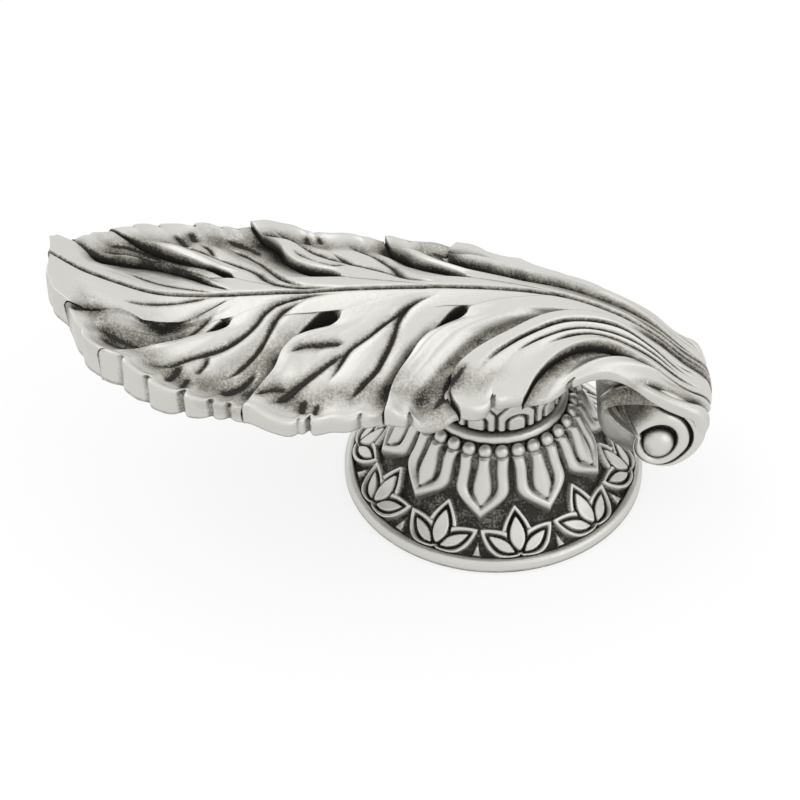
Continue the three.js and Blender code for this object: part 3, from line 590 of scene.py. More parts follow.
def segment_distance(s, a, start, end):
    """Distance from points (s, a) to a straight piece of a vein, and the share of the way along it."""
    run_s, run_a = end[0] - start[0], end[1] - start[1]
    share = ((s - start[0]) * run_s + (a - start[1]) * run_a) / (run_s**2 + run_a**2)
    share = np.clip(share, 0, 1)
    return np.hypot(s - start[0] - share * run_s, a - start[1] - share * run_a), share


def vein_place(points, s, a):
    """Distance from points (s, a) to a vein, and the share of the vein's length at its nearest point."""
    line = np.stack(along(curve_through(points), np.linspace(0, 1, VEIN_STEPS + 1)), -1)
    nearest = np.full_like(s, np.inf)
    place = np.zeros_like(s)
    for k, (start, end) in enumerate(zip(line[:-1], line[1:])):
        distance, share = segment_distance(s, a, start, end)
        closer = distance < nearest
        nearest = np.where(closer, distance, nearest)
        place = np.where(closer, (k + share) / VEIN_STEPS, place)
    return nearest, place


def vein_relief(s, a):
    """Height and patina of the veins, which are deepest in their middles and thin out at both ends."""
    height = np.zeros_like(s)
    patina_and_shade = np.zeros_like(s)
    for half_width, depth, points in VEINS:
        nearest, place = vein_place(points, s, a)
        taper = smooth(place / VEIN_FADE + VEIN_ENDS[0]) * smooth((1 - place) / VEIN_FADE + VEIN_ENDS[1])
        width = half_width * mix(VEIN_THIN, 1, taper)
        groove = np.exp(-(nearest / width) ** VEIN_POWER)
        bank = bell(nearest / (width * VEIN_REACH))
        dark = VEIN_SOIL * bell(nearest / width) + VEIN_BANK_SOIL * bank
        height -= depth * taper * (VEIN_GROOVE * groove + (1 - VEIN_GROOVE) * bank)
        patina_and_shade = np.maximum(patina_and_shade, taper**1.5 * dark)
    return height, np.clip(patina_and_shade, 0, 1)


def edge_relief(r, length, s):
    """Height and patina of the rim along the leaf's edge and of the dish inside it."""
    inside = (1 - r) * length
    rim = EDGE_RIM * bell(inside / EDGE_RIM_WIDTH)
    dish = bell((inside - EDGE_DISH_AT) / EDGE_DISH_WIDTH)
    body = smooth((EDGE_ROOT[0] - s) / EDGE_ROOT[1]) * grow(s, *EDGE_TIP)
    return body * (rim - EDGE_DISH * dish), body * (EDGE_DISH_SOIL * dish)


def notch_depth(k, t):
    """How far the notches draw the edge in, at t across a leaflet."""
    width = leaflet_width(k, np.array(1.0))
    depth = np.zeros_like(t)
    for at, deepest in LEAFLETS[k].get("notches", ()):
        depth += deepest * np.exp(-((np.abs(t - at) * width / NOTCH_HALF_WIDTH) ** NOTCH_POWER))
    return depth


def leaflet_point(k, t, r):
    """The point (s, a) of a leaflet at t across it and r out along it, out to its edge's curve."""
    pulled = r - notch_depth(k, t) / NOTCH_LINE * r**NOTCH_FALL
    s0, a0 = parting_point(k, pulled, 1)
    s1, a1 = parting_point(k + 1, pulled, -1)
    end = np.ones_like(r)
    (e0, b0), (e1, b1) = parting_point(k, end, 1), parting_point(k + 1, end, -1)
    edge_s, edge_a = along(EDGE_CURVES[k], t)
    swell = r**SWELL_POWER * np.sqrt(np.sin(np.pi * np.clip(t, 0, 1)).clip(0))
    s = mix(s0, s1, t) + swell * (edge_s - mix(e0, e1, t))
    a = mix(a0, a1, t) + swell * (edge_a - mix(b0, b1, t))
    return s, np.maximum(a, 0)


def parting_columns(line, r):
    """Columns down into a parting and its pit, between the leaflets on its two sides."""
    before = leaflet_height(line - 1, np.ones_like(r), r)[0]
    after = leaflet_height(line, np.zeros_like(r), r)[0]
    low = np.minimum(before, after)
    eye = eye_share(line, r)
    pit = EYES[line][3] * np.sqrt(eye) if line in EYES else np.zeros_like(r)
    open_share = grow(r, PARTING_STARTS[line], PARTING_DEEPENS)
    patina_and_shade = np.clip(PARTING_SOIL + eye, 0, 1) * open_share
    columns = []
    for across in EYE_STEPS:
        s, a = parting_point(line, r, across)
        wall = 1 - np.abs(across) ** EYE_WALL_POWER
        floor = wall * pit + PARTING_DEPTH * (1 - across**2) * open_share
        columns.append((s, a, low - floor, patina_and_shade))
    return columns


def leaf_columns(r):
    """Every column of the leaf from the scroll to the tip, as s, a, height and patina at r."""
    columns = []
    for k, leaflet in enumerate(LEAFLETS):
        for t in np.linspace(0, 1, leaflet["columns"] + 1):
            across = np.full_like(r, t)
            s, a = leaflet_point(k, across, r)
            columns.append((s, a, *leaflet_height(k, across, r)))
        line = k + 1
        if 1 < line < len(LEAFLETS):
            columns.extend(parting_columns(line, r))
    return [np.array(values) for values in zip(*columns)]


# The crease that runs beside the midrib round the roll
ROLL_CREASE_AT = 0.9
ROLL_CREASE_DEPTH = 0.35
ROLL_CREASE_RISE = (15.5, 5)
ROLL_CREASE_SOIL = 0.8


def roll_relief(s, a):
    """Height and patina of the crease round the roll."""
    window = grow(s, *ROLL_CREASE_RISE)
    cut, dark = crease(np.abs(a - ROLL_CREASE_AT))
    return -ROLL_CREASE_DEPTH * window * cut, ROLL_CREASE_SOIL * window * dark


def leaf_thickness(s, r):
    edge, middle = table(EDGE_THICKNESS, s), table(MIDDLE_THICKNESS, s)
    return mix(middle, edge, smooth((r - THIN_START) / (1 - THIN_START)))


def blurred(values, reach, axis):
    """A running mean over 2 reach + 1 values along one axis."""
    pad = [(0, 0), (0, 0)]
    pad[axis] = (reach, reach)
    padded = np.pad(values, pad, mode="edge")
    total = np.cumsum(np.insert(padded, 0, 0, axis=axis), axis=axis)
    count = 2 * reach + 1
    span = values.shape[axis]
    first = np.take(total, np.arange(span), axis=axis)
    last = np.take(total, np.arange(span) + count, axis=axis)
    return (last - first) / count


# Reaches, in columns and rows, of the means that patina is laid against, and how far below them it is full
HOLLOW_REACHES = ((14, 6), (10, 4))
HOLLOW_SOIL = 0.55
HOLLOW_DEPTH = 0.8
STAIN_REACHES = (5, 3)
STAIN_SOIL = 0.85
STAIN_DEPTH = 0.24
STAIN_FADE = 0.5


def hollow_soil(h):
    """Patina where the relief lies below the mean of what is round it."""
    mean = h
    for columns, rows in HOLLOW_REACHES:
        mean = blurred(blurred(mean, columns, 0), rows, 1)
    return HOLLOW_SOIL * smooth((mean - h) / HOLLOW_DEPTH)


def notch_stain(edge_a):
    """Patina down the leaf's wall, where its edge is drawn in behind the mean of what is beside it."""
    mean = edge_a[:, None]
    for reach in STAIN_REACHES:
        mean = blurred(mean, reach, 0)
    return STAIN_SOIL * smooth((mean[:, 0] - edge_a) / STAIN_DEPTH)


def leaf_top():
    """Arrays of s, a, height and patina over the whole top of one half of the leaf."""
    r = leaf_rows(LEAF_ROWS)
    s, a, h, patina_and_shade = leaf_columns(r)
    roll_h, roll_soil = roll_relief(s, a)
    vein_h, vein_soil = vein_relief(s, a)
    length = np.hypot(np.diff(s, axis=1), np.diff(a, axis=1)).sum(1)[:, None]
    rim_h, rim_soil = edge_relief(r[None, :], length, s)
    rib = bell(a / MIDRIB_HALF_WIDTH)
    h = h + roll_h + vein_h + rim_h - MIDRIB_GROOVE * rib
    patina_and_shade = np.maximum.reduce([patina_and_shade, roll_soil, vein_soil, MIDRIB_SOIL * rib]) + rim_soil + hollow_soil(h)
    return s, a, h, patina_and_shade


def leaf_wall(s, a, h, patina_and_shade, side):
    """The rounded lip and the wall down the leaf's edge, and their patina."""
    edge_s, edge_a, edge_h, edge_soil = s[:, -1], a[:, -1], h[:, -1], patina_and_shade[:, -1]
    inner_s, inner_a = s[:, -3], a[:, -3]
    run = np.hypot(edge_s - inner_s, edge_a - inner_a) + 1e-9
    out_s, out_a = (edge_s - inner_s) / run, (edge_a - inner_a) / run
    out_s, out_a = out_s * (edge_a > 0), out_a * (edge_a > 0)
    thick = leaf_thickness(edge_s, np.ones_like(edge_s))
    turns = np.radians(np.linspace(0, 90, LIP_STEPS))
    drops = [(LIP_RADIUS * math.sin(t), LIP_RADIUS * (1 - math.cos(t)), 0) for t in turns]
    for share in WALL_SHARES:
        drops.append((LIP_RADIUS - WALL_TUCK * share, mix(LIP_RADIUS, thick, share), share))
    wall = [
        leaf_point(edge_s + out * out_s, edge_a + out * out_a, edge_h * (1 - share), down, side)
        for out, down, share in drops
    ]
    fade = np.array([1 - WALL_FADE * share for _, _, share in drops])
    stain = notch_stain(edge_a)[:, None] * (1 - STAIN_FADE * fade[None, ::-1] ** 2)
    return np.stack(wall, 1), np.maximum(edge_soil[:, None] * fade, stain)


def leaf_side(skin, side):
    """One half of the leaf: its top, its wall, its underside and the flat end inside the scroll."""
    s, a, h, patina_and_shade = leaf_top()
    top = leaf_point(s, a, h, 0, side)
    skin.grid(top, patina_and_shade)
    wall, wall_soil = leaf_wall(s, a, h, patina_and_shade, side)
    skin.grid(wall, wall_soil)
    under_r = leaf_rows(LEAF_UNDER_ROWS)
    under_s, under_a = leaf_columns(under_r)[:2]
    under = leaf_point(under_s, under_a, 0, leaf_thickness(under_s, under_r[None, :]), side)
    under[:, -1] = wall[:, -1]
    skin.grid(under, UNDER_SOIL)
    skin.polygon(np.vstack([top[0], wall[0, 1:], under[0, -2::-1]]), ROOT_SOIL)


def leaf_blade(material):
    skin = Skin()
    leaf_side(skin, 1)
    leaf_side(skin, -1)
    return skin.piece("leaf_blade", material, "leaf_knob", "antique_silver")


# The scroll's two ends, (degrees, radius) round VOLUTE, with the angle falling from the bands' start under
# the leaf, round the back and the foot. Two bands run side by side round a dish with an eye in it.
OUTER_BAND = [
    (-205, 2.9), (-159, 2.95), (-104, 2.8), (-65, 3.3), (-34, 4.2),
    (-6, 5.3), (17, 5.9), (50, 5.9), (90, 7.3), (116, 8.9), (140, 9.2),
]
INNER_BAND = [
    (-205, 2.75), (-159, 2.75), (-104, 2.55), (-65, 2.7), (-25, 3.2),
    (3, 3.9), (35, 4.2), (76, 4.7), (110, 5.6), (140, 7.6),
]
EYE_DISH = [
    (-220, 2.6), (-180, 1.9), (-126, 1.7), (-90, 1.7), (-60, 1.75), (-19, 2.0),
    (11, 2.45), (42, 2.85), (77, 3.1), (110, 3.1), (140, 3.0),
]
# Half the scroll's length at the outer band's edge, and the radius of the barrel between the ends, by angle
RIM_HALF_LENGTH = [
    (-205, 7.4), (-104, 7.9), (-65, 7.8), (-34, 7.4), (-6, 6.9), (17, 6.3), (50, 6.1), (140, 6.1),
]
BARREL_RADIUS = [(-205, 6.4), (-134, 6.6), (-90, 5.7), (-45, 5.2), (0, 5.0), (90, 5.0), (140, 6.0)]
BAND_START = 140
BAND_END = -205
BAND_STEPS = 260
CLOSING_STEPS = 15  # steps that close the round behind the leaf
FACE_KNOTS = (0, 0.3, 0.36, 0.72, 1)  # ends of the dish's floor, its wall, the inner and the outer band
FACE_STEPS = (3, 4, 43)  # mesh steps over the floor, the wall and the two bands
DISH_FLOOR = 0.82  # the floor's radius as a share of the dish's
DISH_DEPTH = 1.5
BAND_DEPTH = 0.25
RIM_DEPTH = 0.3
RIM_ROUND = (0.75, 0.35)  # share of the outer band where its edge starts to round off, and how far it falls
BAND_RISE = 0.35
BAND_GROOVE = 0.8
GROOVE_SHARES = (0.82, 0.2)  # where the inner band falls into the groove, where the outer one is out
GROOVE_SOIL = 0.75
GROOVE_SOIL_WIDTH = 0.03
FULL_BAND = 0.9  # width at which the outer band has all its relief
RECESS = 3.2  # how far the bands' start lies back under the leaf
RECESS_TURN = (70, 65)  # angle where that begins, and degrees over which it grows
RECESS_RADIUS = (2.6, 3)
RECESS_JOINT = 0.15
BARREL_ROWS = 41
BARREL_MIDDLE = 0.5  # share of the half length that keeps the barrel's own round
BARREL_PATINA_AND_SHADE = (0.05, 0.4, 175, 40)  # patina everywhere, painted shade behind the leaf, the angle where that shade starts, its run


def volute_face(angle, v):
    """Radius, distance from the scroll's middle, and patina with painted shade where the bands lie back
    under the leaf, at v from the centre (0) to the rim (1).
    """
    dish, inner, outer = (smooth_line(line, angle) for line in (EYE_DISH, INNER_BAND, OUTER_BAND))
    knots = np.array(FACE_KNOTS)
    radii = np.stack([np.zeros_like(dish), dish * DISH_FLOOR, dish, inner, outer])
    k = np.clip(np.searchsorted(knots, v, side="right") - 1, 0, 3)
    u = (v - knots[k]) / (knots[k + 1] - knots[k])
    radius = mix(np.choose(k, radii[:4]), np.choose(k, radii[1:]), u)
    width = smooth((outer - inner) / FULL_BAND)
    back = RECESS * grow(angle, *RECESS_TURN) * grow(radius, *RECESS_RADIUS)
    ring = BAND_RISE * (1 - (2 * u - 1) ** 2)

    floor = DISH_DEPTH + 0 * radius
    wall = mix(DISH_DEPTH, BAND_DEPTH, smooth(u))
    into_groove = smooth((u - GROOVE_SHARES[0]) / (1 - GROOVE_SHARES[0]))
    inner_band = mix(BAND_DEPTH, RIM_DEPTH, u) - ring + back + width * BAND_GROOVE * into_groove
    out_of_groove = mix(BAND_GROOVE, 0, smooth(u / GROOVE_SHARES[1]))
    rounded = RIM_ROUND[1] * smooth((u - RIM_ROUND[0]) / (1 - RIM_ROUND[0]))
    joint = back * smooth((RECESS_JOINT - u) / RECESS_JOINT)
    outer_band = width * (out_of_groove - ring) + RIM_DEPTH + rounded + joint
    depth = np.choose(k, [floor, wall, inner_band, outer_band])
    half = mix(SCROLL_HALF_LENGTH, smooth_line(RIM_HALF_LENGTH, angle), smooth(radius / outer))

    groove = GROOVE_SOIL * bell((v - FACE_KNOTS[3]) / GROOVE_SOIL_WIDTH) * width
    patina_and_shade = np.maximum(np.choose(k, [1 + 0 * u, 0.9 * (1 - u), 0 * u, 0 * u]), groove)
    # The bands darken where they lie back under the leaf: this is painted shade.
    return radius, half - depth, np.maximum(patina_and_shade, 0.5 * smooth(back / 2))


def face_shares():
    """Shares from a scroll end's centre to its rim, closer together over the dish's wall."""
    floor = np.linspace(0.02, FACE_KNOTS[1], FACE_STEPS[0] + 1)
    wall = np.linspace(FACE_KNOTS[1], FACE_KNOTS[2], FACE_STEPS[1] + 1)[1:]
    bands = np.linspace(FACE_KNOTS[2], 1, FACE_STEPS[2] + 1)[1:]
    return np.concatenate([floor, wall, bands])


def scroll_ends(material):
    """The scroll under the leaf's root: two faces with bands round an eye, and a barrel between."""
    band_angles = np.linspace(BAND_START, BAND_END, BAND_STEPS)[:, None]
    grids = [
        *volute_face(*np.broadcast_arrays(band_angles, face_shares()[None, :])),
        smooth_line(BARREL_RADIUS, band_angles),
    ]
    step = np.linspace(0, 1, CLOSING_STEPS + 1)[1:-1, None]
    angles = np.vstack([band_angles, mix(BAND_END, BAND_START - 360, step)])
    radius, reach, patina_and_shade, barrel_radius = (
        np.vstack([rows, mix(rows[-1:], rows[:1], smooth(step))]) for rows in grids
    )
    across = np.linspace(-1, 1, BARREL_ROWS)[None, :]
    y = across * reach[:, -1:]
    ease = smooth((np.abs(across) - BARREL_MIDDLE) / (1 - BARREL_MIDDLE))
    barrel = mix(
        around(SCROLL, barrel_radius + 0 * across, angles, y),
        around(VOLUTE, radius[:, -1:] + 0 * across, angles, y),
        ease[..., None],
    )
    # The barrel's darkening is a little patina everywhere plus painted shade where it turns up behind the
    # leaf.
    light, dark, start, run = BARREL_PATINA_AND_SHADE
    skin = Skin()
    skin.grid(barrel, light + dark * grow(-angles, start, run), wrap=True)
    for side in (-1, 1):
        skin.grid(around(VOLUTE, radius, angles, side * reach), patina_and_shade, wrap=True)
    return skin.piece("scroll", material, "leaf_knob", "antique_silver")


def around(centre, r, angle, y):
    """Points round a line through centre (x, z) that runs along Y, with the angle in degrees from +X."""
    turn = np.radians(angle)
    r, turn, y = np.broadcast_arrays(r, turn, y)
    return np.stack([centre[0] + r * np.cos(turn), y, centre[1] + r * np.sin(turn)], -1)


def scroll_eyes(material):
    """The two round knobs in the dishes of the scroll's ends."""
    skin = Skin()
    lift = np.radians(np.linspace(-20, 90, 14))[None, :]
    turn = np.linspace(0, 360, 41)[:, None]
    patina_and_shade = 0.9 * smooth((0.3 - np.sin(lift)) / 0.4)
    for side in (-1, 1):
        y = side * (SCROLL_HALF_LENGTH - DISH_DEPTH + SCROLL_EYE_HEIGHT * np.sin(lift))
        skin.grid(around(VOLUTE, SCROLL_EYE_RADIUS * np.cos(lift), turn, y), patina_and_shade)
    return skin.piece("scroll_eyes", material, "leaf_knob", "antique_silver")


def round_points(r, angle, z):
    """Points round Z, with the angle in degrees from the front (-Y) towards +X."""
    turn = np.radians(angle - 90)
    r, turn, z = np.broadcast_arrays(r, turn, z)
    return np.stack([r * np.cos(turn), r * np.sin(turn), z], -1)


def turns(count):
    """Angles all round, in a column, from the first petal."""
    return np.linspace(0, 360, count, endpoint=False)[:, None] + PETAL_TURN


def arch_grooves(angle, height):
    """How deep, as a share, the stem's arches and the forks between them are cut."""
    pitch = 2 * math.pi * STEM_RADIUS / ARCH_COUNT
    across = np.abs((angle * ARCH_COUNT / 360) % 1 - 0.5) * pitch
    up = height - PLATE_TOP - SEAT_GAP
    above_spring = ARCH_SQUASH * np.clip(up - ARCH_SPRING, 0, None)
    arch = np.abs(np.hypot(across, above_spring) - ARCH_HALF_WIDTH)
    fork = np.abs(pitch / 2 - across - FORK_SLOPE * np.clip(up - FORK_HEIGHT, 0, None))
    return bell(np.minimum(arch, fork) / ARCH_LINE) * smooth((ARCH_TOP - up) / 0.5)


def stem(material):
    """The round stem, from the spigot in the backplate to inside the leaf."""
    foot = PLATE_TOP + SEAT_GAP
    profile = np.array([
        (SPIGOT_RADIUS, foot - 2), (SPIGOT_RADIUS, foot), (STEM_RADIUS - 0.3, foot),
        (STEM_RADIUS, foot + 0.2), (STEM_RADIUS, 15), (STEM_RADIUS, 16.5),
        (STEM_RADIUS + STEM_FLARE * 0.6, 19.4), (STEM_RADIUS + STEM_FLARE, STEM_TOP - 4.4),
        (STEM_RADIUS - 0.9, STEM_TOP - 2), (4, STEM_TOP - 0.6), (0, STEM_TOP),
    ])
    step = np.linspace(0, 1, STEM_STEPS, endpoint=False)[:, None]
    pieces = [mix(start, end, step) for start, end in zip(profile[:-1], profile[1:])]
    r, z = np.vstack([*pieces, profile[-1:]]).T[:, None, :]
    angles = turns(STEM_TURNS)
    on_wall = r > STEM_RADIUS - 0.6
    cut = np.where(on_wall, arch_grooves(angles, z), 0)
    skin = Skin()
    skin.grid(round_points(r - ARCH_DEPTH * cut, angles, z), cut, wrap=True)
    return skin.piece("stem", material, "leaf_knob", "antique_silver")


# The backplate's face from its rim in to the beads, (radius, height)
PLATE_FACE = [
    (16.75, 1.1), (16.2, 1.2), (15.2, 1.8), (14.4, 2.4), (13.7, 3.05), (13.1, 3.75), (12.4, 4.7),
    (11.7, 6), (11.1, 7.3), (10.5, 8.6), (10, 9.8), (9.5, 10.7),
]
# The way the relief stands out: degrees from straight up at the beads and at the rim, the radius where that
# starts to change and the length of the change
FACE_LEAN = (62, 24, 10, 5.5)
GROUND_SOIL = 0.85
GROUND_RELIEF = (0.08, 0.42)  # the height up to which that holds, and how far above it none is left


def up_from_tip(radius):
    """Length up the plate's face from the radius of the petals' tips."""
    shares, face = curve_through(PLATE_FACE)
    length = shares * np.hypot(*np.diff(face, axis=0).T).sum()
    from_rim = np.interp([radius, PETAL_TIP_RADIUS + 0 * radius], face[::-1, 0], length[::-1])
    return from_rim[0] - from_rim[1]


def petal_relief(across, radius):
    """A petal's thick round border that ends in a point, and the drop-shaped tongue in it."""
    up = up_from_tip(radius)
    from_side = PETAL_HALF_WIDTH * mix(1, PETAL_TOP_SHARE, grow(up, *PETAL_NARROWS)) - across
    from_point = (up - across) / math.sqrt(2)
    nearer = np.exp(-PETAL_CORNER * from_side) + np.exp(-PETAL_CORNER * from_point)
    inside = -np.log(nearer) / PETAL_CORNER
    crest = (2 * inside / PETAL_RIB - 1) * PETAL_RIB_REACH
    low, high, run = PETAL_RIB_HEIGHTS
    border = np.sqrt(np.clip(1 - crest**2, 0, 1)) * mix(low, high, smooth(up / run))
    share, start, run = TONGUE_TOP
    drop = np.sqrt(np.clip((up - TONGUE_FOOT) / TONGUE_SWELL, 0, 1))
    half = TONGUE_HALF_WIDTH * drop * mix(1, share, grow(up, start, run)) + 1e-6
    tongue = np.sqrt(np.clip(1 - (across / half) ** 2, 0, 1)) * (half > 0.05)
    return np.maximum.reduce([border, tongue, PETAL_GROUND * smooth(inside / 0.3)])


def palmette_leaf(across, up, turn, length, half_width, rib_width):
    """Distance inside one pointed leaf of a palmette, and its relief: a border round an inner leaf."""
    angle = math.radians(turn)
    out = up * math.cos(angle) + across * math.sin(angle)
    aside = np.abs(across * math.cos(angle) - up * math.sin(angle))
    t = np.clip(out / length, 0, 1)
    inside = half_width * np.sin(np.pi * t**0.85) ** 0.8 - aside
    inside = np.where((out > 0) & (out < length), inside, -1)
    rib = np.exp(-(((inside - rib_width * 0.5) / (rib_width * 0.6)) ** 4))
    core = PALMETTE_CORES[0] * smooth((inside - rib_width - PALMETTE_GROOVE) / PALMETTE_EDGE)
    return inside, np.where(inside > 0, np.maximum(rib, core), 0)


def palmette_relief(across, radius):
    """A middle leaf, two side leaves over its border, and over both its own inner leaf."""
    up = (PALMETTE_FOOT_RADIUS - radius) * PALMETTE_SLOPE
    middle, *sides = PALMETTE_LEAVES
    middle_inside, relief = palmette_leaf(across, up, *middle)
    for leaf in sides:
        inside, leaf_relief = palmette_leaf(across, up, *leaf)
        relief = np.where(inside > 0, leaf_relief, relief)
    in_core = middle_inside - middle[3] - PALMETTE_GROOVE
    core = PALMETTE_CORES[1] * smooth(in_core / PALMETTE_EDGE)
    return np.where(in_core > -0.15, core, relief)


def plate_relief(angle, radius):
    """Height over the backplate's plain face of the petals, the palmettes and the darts."""
    sector = 360 / PLATE_SECTORS
    from_petal = (angle - PETAL_TURN + sector / 2) % sector - sector / 2
    side = np.where(from_petal < 0, -1, 1)
    aside = np.radians(np.abs(from_petal)) * radius
    petal = petal_relief(aside, radius)
    palmette = palmette_relief(np.radians(from_petal - side * sector / 2) * radius, radius)
    up = (PALMETTE_FOOT_RADIUS - radius) * PALMETTE_SLOPE
    dart_half = DART_HALF_WIDTH * np.clip(1 - up / DART_LENGTH, 0, 1)
    dart = smooth((dart_half - aside) / PALMETTE_EDGE) * (up > 0.1)
    return np.maximum.reduce([PETAL_RELIEF * petal, PALMETTE_RELIEF * palmette, DART_RELIEF * dart])


def plate(material):
    """The backplate: its profile turned round the axis, with the relief on its face."""
    rim = [
        (SCREW_WAY_RADIUS, 0), (PLATE_RADIUS - 0.25, 0), (PLATE_RADIUS, 0.3), (PLATE_RADIUS, 1.1),
        (PLATE_RADIUS - 0.12, 1.45), (PLATE_RADIUS - 0.4, 1.66), (PLATE_RADIUS - 0.7, RIM_HEIGHT),
        (PLATE_RADIUS - 1.05, 1.55), (PLATE_RADIUS - RIM_WIDTH, 1.2),
    ]
    collar = [
        (9, 11.1), (8.7, 11.5), (8.45, 11.95), (8.5, 12.1), (COLLAR_RADIUS - 0.05, 12.25),
        (COLLAR_RADIUS, 12.5), (COLLAR_RADIUS - 0.05, 12.8), (COLLAR_RADIUS - 0.2, 13.05),
        (COLLAR_RADIUS - 0.45, PLATE_TOP), (SOCKET_RADIUS, PLATE_TOP),
        (SOCKET_RADIUS, PLATE_TOP - SPIGOT_LENGTH), (SCREW_WAY_RADIUS, PLATE_TOP - SPIGOT_LENGTH),
        (SCREW_WAY_RADIUS, 0),
    ]
    face_line = np.stack(along(curve_through(PLATE_FACE), np.linspace(0, 1, PLATE_FACE_STEPS)), -1)
    line = np.vstack([rim, face_line, collar])
    on_face = np.zeros(len(line))
    on_face[len(rim) : len(rim) + len(face_line)] = 1
    angles = turns(PLATE_TURNS)
    r, z = line[None, :, 0], line[None, :, 1]
    height = plate_relief(angles, np.broadcast_to(r, (len(angles), len(line)))) * on_face
    steep, shallow, start, run = FACE_LEAN
    slope = np.radians(mix(steep, shallow, grow(r, start, run)))
    patina_and_shade = on_face * GROUND_SOIL * (1 - grow(height, *GROUND_RELIEF))
    groove = bell((z - COLLAR_GROOVE_HEIGHT) / COLLAR_GROOVE_WIDTH)
    collar_soil = COLLAR_GROOVE_SOIL * groove * (r > SOCKET_RADIUS + 1)
    skin = Skin()
    points = round_points(r + height * np.sin(slope), angles, z + height * np.cos(slope))
    skin.grid(points, np.clip(patina_and_shade + collar_soil, 0, 1), wrap=True)
    return skin.piece("plate", material, "backplate", "antique_silver")


def beads(material):
    """The ring of balls under the collar."""
    lift = np.radians(np.linspace(-90, 90, 15))[None, :]
    turn = np.radians(np.linspace(0, 360, 25))[:, None]
    sides = (np.cos(lift) * np.cos(turn), np.cos(lift) * np.sin(turn), np.sin(lift))
    ball = BEAD_RADIUS * np.stack(np.broadcast_arrays(*sides), -1)
    count = PLATE_SECTORS * BEADS_PER_SECTOR
    skin = Skin()
    for k in range(count):
        centre = round_points(BEAD_RING_RADIUS, np.array(PETAL_TURN + k * 360 / count), BEAD_HEIGHT)
        skin.grid(centre + ball, BEAD_SOIL)
    return skin.piece("beads", material, "backplate", "antique_silver")


# Colours of the silver where it is clean, dulled and black, with the share of patina and painted shade at
# each
SILVER_TONES = (
    (0.06, (0.66, 0.65, 0.615, 1)),
    (0.4, (0.29, 0.275, 0.24, 1)),
    (0.85, (0.03, 0.027, 0.023, 1)),
)
# Noise in the patina and the surface: scale, detail, and how much of it
MOTTLE = (420, 6, 1.2)
GRAIN = (3800, 3, 1.3)
RUB = (700, 4, 0.12)
LUMPS = (650, 3, 2.2)
PITS = (2600, 4, 0.6)
NOISE_ROUGHNESS = 0.6
SPECKLE = 1.6
HOLLOW_REACH = 1.3
HOLLOW_START = 0.28
HOLLOW_GAIN = 2.1
SILVER_ROUGHNESS = 0.44
PATINA_ROUGHNESS = 0.2
PATINA_DULLING = 0.45
BUMP_STRENGTH = 0.3
BUMP_HEIGHT = 0.1


def set_inputs(node, values):
    for name, value in values.items():
        node.inputs[name].default_value = value


def new_material(name, values):
    """A material, and its shader with these values."""
    material = bpy.data.materials.new(name)
    material.use_nodes = True
    shader = material.node_tree.nodes["Principled BSDF"]
    set_inputs(shader, values)
    return material, shader


class Nodes:
    """Short ways to add nodes to one material."""

    def __init__(self, material):
        self.nodes = material.node_tree.nodes
        self.links = material.node_tree.links
        self.place = self.nodes.new("ShaderNodeTexCoord").outputs["Object"]

    def noise(self, scale, detail):
        node = self.nodes.new("ShaderNodeTexNoise")
        set_inputs(node, {"Scale": scale, "Detail": detail, "Roughness": NOISE_ROUGHNESS})
        self.links.new(self.place, node.inputs["Vector"])
        return node.outputs["Fac"]

    def math(self, operation, a, b, clamp=False):
        node = self.nodes.new("ShaderNodeMath")
        node.operation = operation
        node.use_clamp = clamp
        for value, socket_in in zip((a, b), node.inputs):
            if isinstance(value, (int, float)):
                socket_in.default_value = value
            else:
                self.links.new(value, socket_in)
        return node.outputs[0]

    def spread(self, scale, detail, amount):
        """Noise that lies evenly on both sides of zero."""
        return self.math("MULTIPLY", self.math("SUBTRACT", self.noise(scale, detail), 0.5), amount)


def silver_patina_and_shade(tree):
    """The share of patina, and of the painted shade that some meshes carry: painted on the mesh and in
    narrow hollows, uneven at its borders.
    """
    patina_and_shade = tree.nodes.new("ShaderNodeAttribute")
    patina_and_shade.attribute_name = "patina_and_shade"
    hollow = tree.nodes.new("ShaderNodeAmbientOcclusion")
    hollow.samples = 8
    hollow.inputs["Distance"].default_value = HOLLOW_REACH * MM
    shade = tree.math("SUBTRACT", 1.0, hollow.outputs["AO"], clamp=True)
    deep = tree.math("MULTIPLY", tree.math("SUBTRACT", shade, HOLLOW_START), HOLLOW_GAIN, clamp=True)
    painted = tree.math("MAXIMUM", patina_and_shade.outputs["Fac"], deep)
    speckle = tree.math("ADD", tree.spread(*MOTTLE), tree.spread(*GRAIN))
    uneven = tree.math("MULTIPLY", speckle, tree.math("MULTIPLY", painted, SPECKLE, clamp=True))
    return tree.math("ADD", painted, uneven, clamp=True)


def silver_bump(tree):
    """The slightly uneven surface of a casting."""
    lumps = tree.math("MULTIPLY", tree.noise(*LUMPS[:2]), LUMPS[2])
    pits = tree.math("MULTIPLY", tree.noise(*PITS[:2]), PITS[2])
    bump = tree.nodes.new("ShaderNodeBump")
    set_inputs(bump, {"Strength": BUMP_STRENGTH, "Distance": BUMP_HEIGHT * MM})
    tree.links.new(tree.math("ADD", lumps, pits), bump.inputs["Height"])
    return bump.outputs["Normal"]


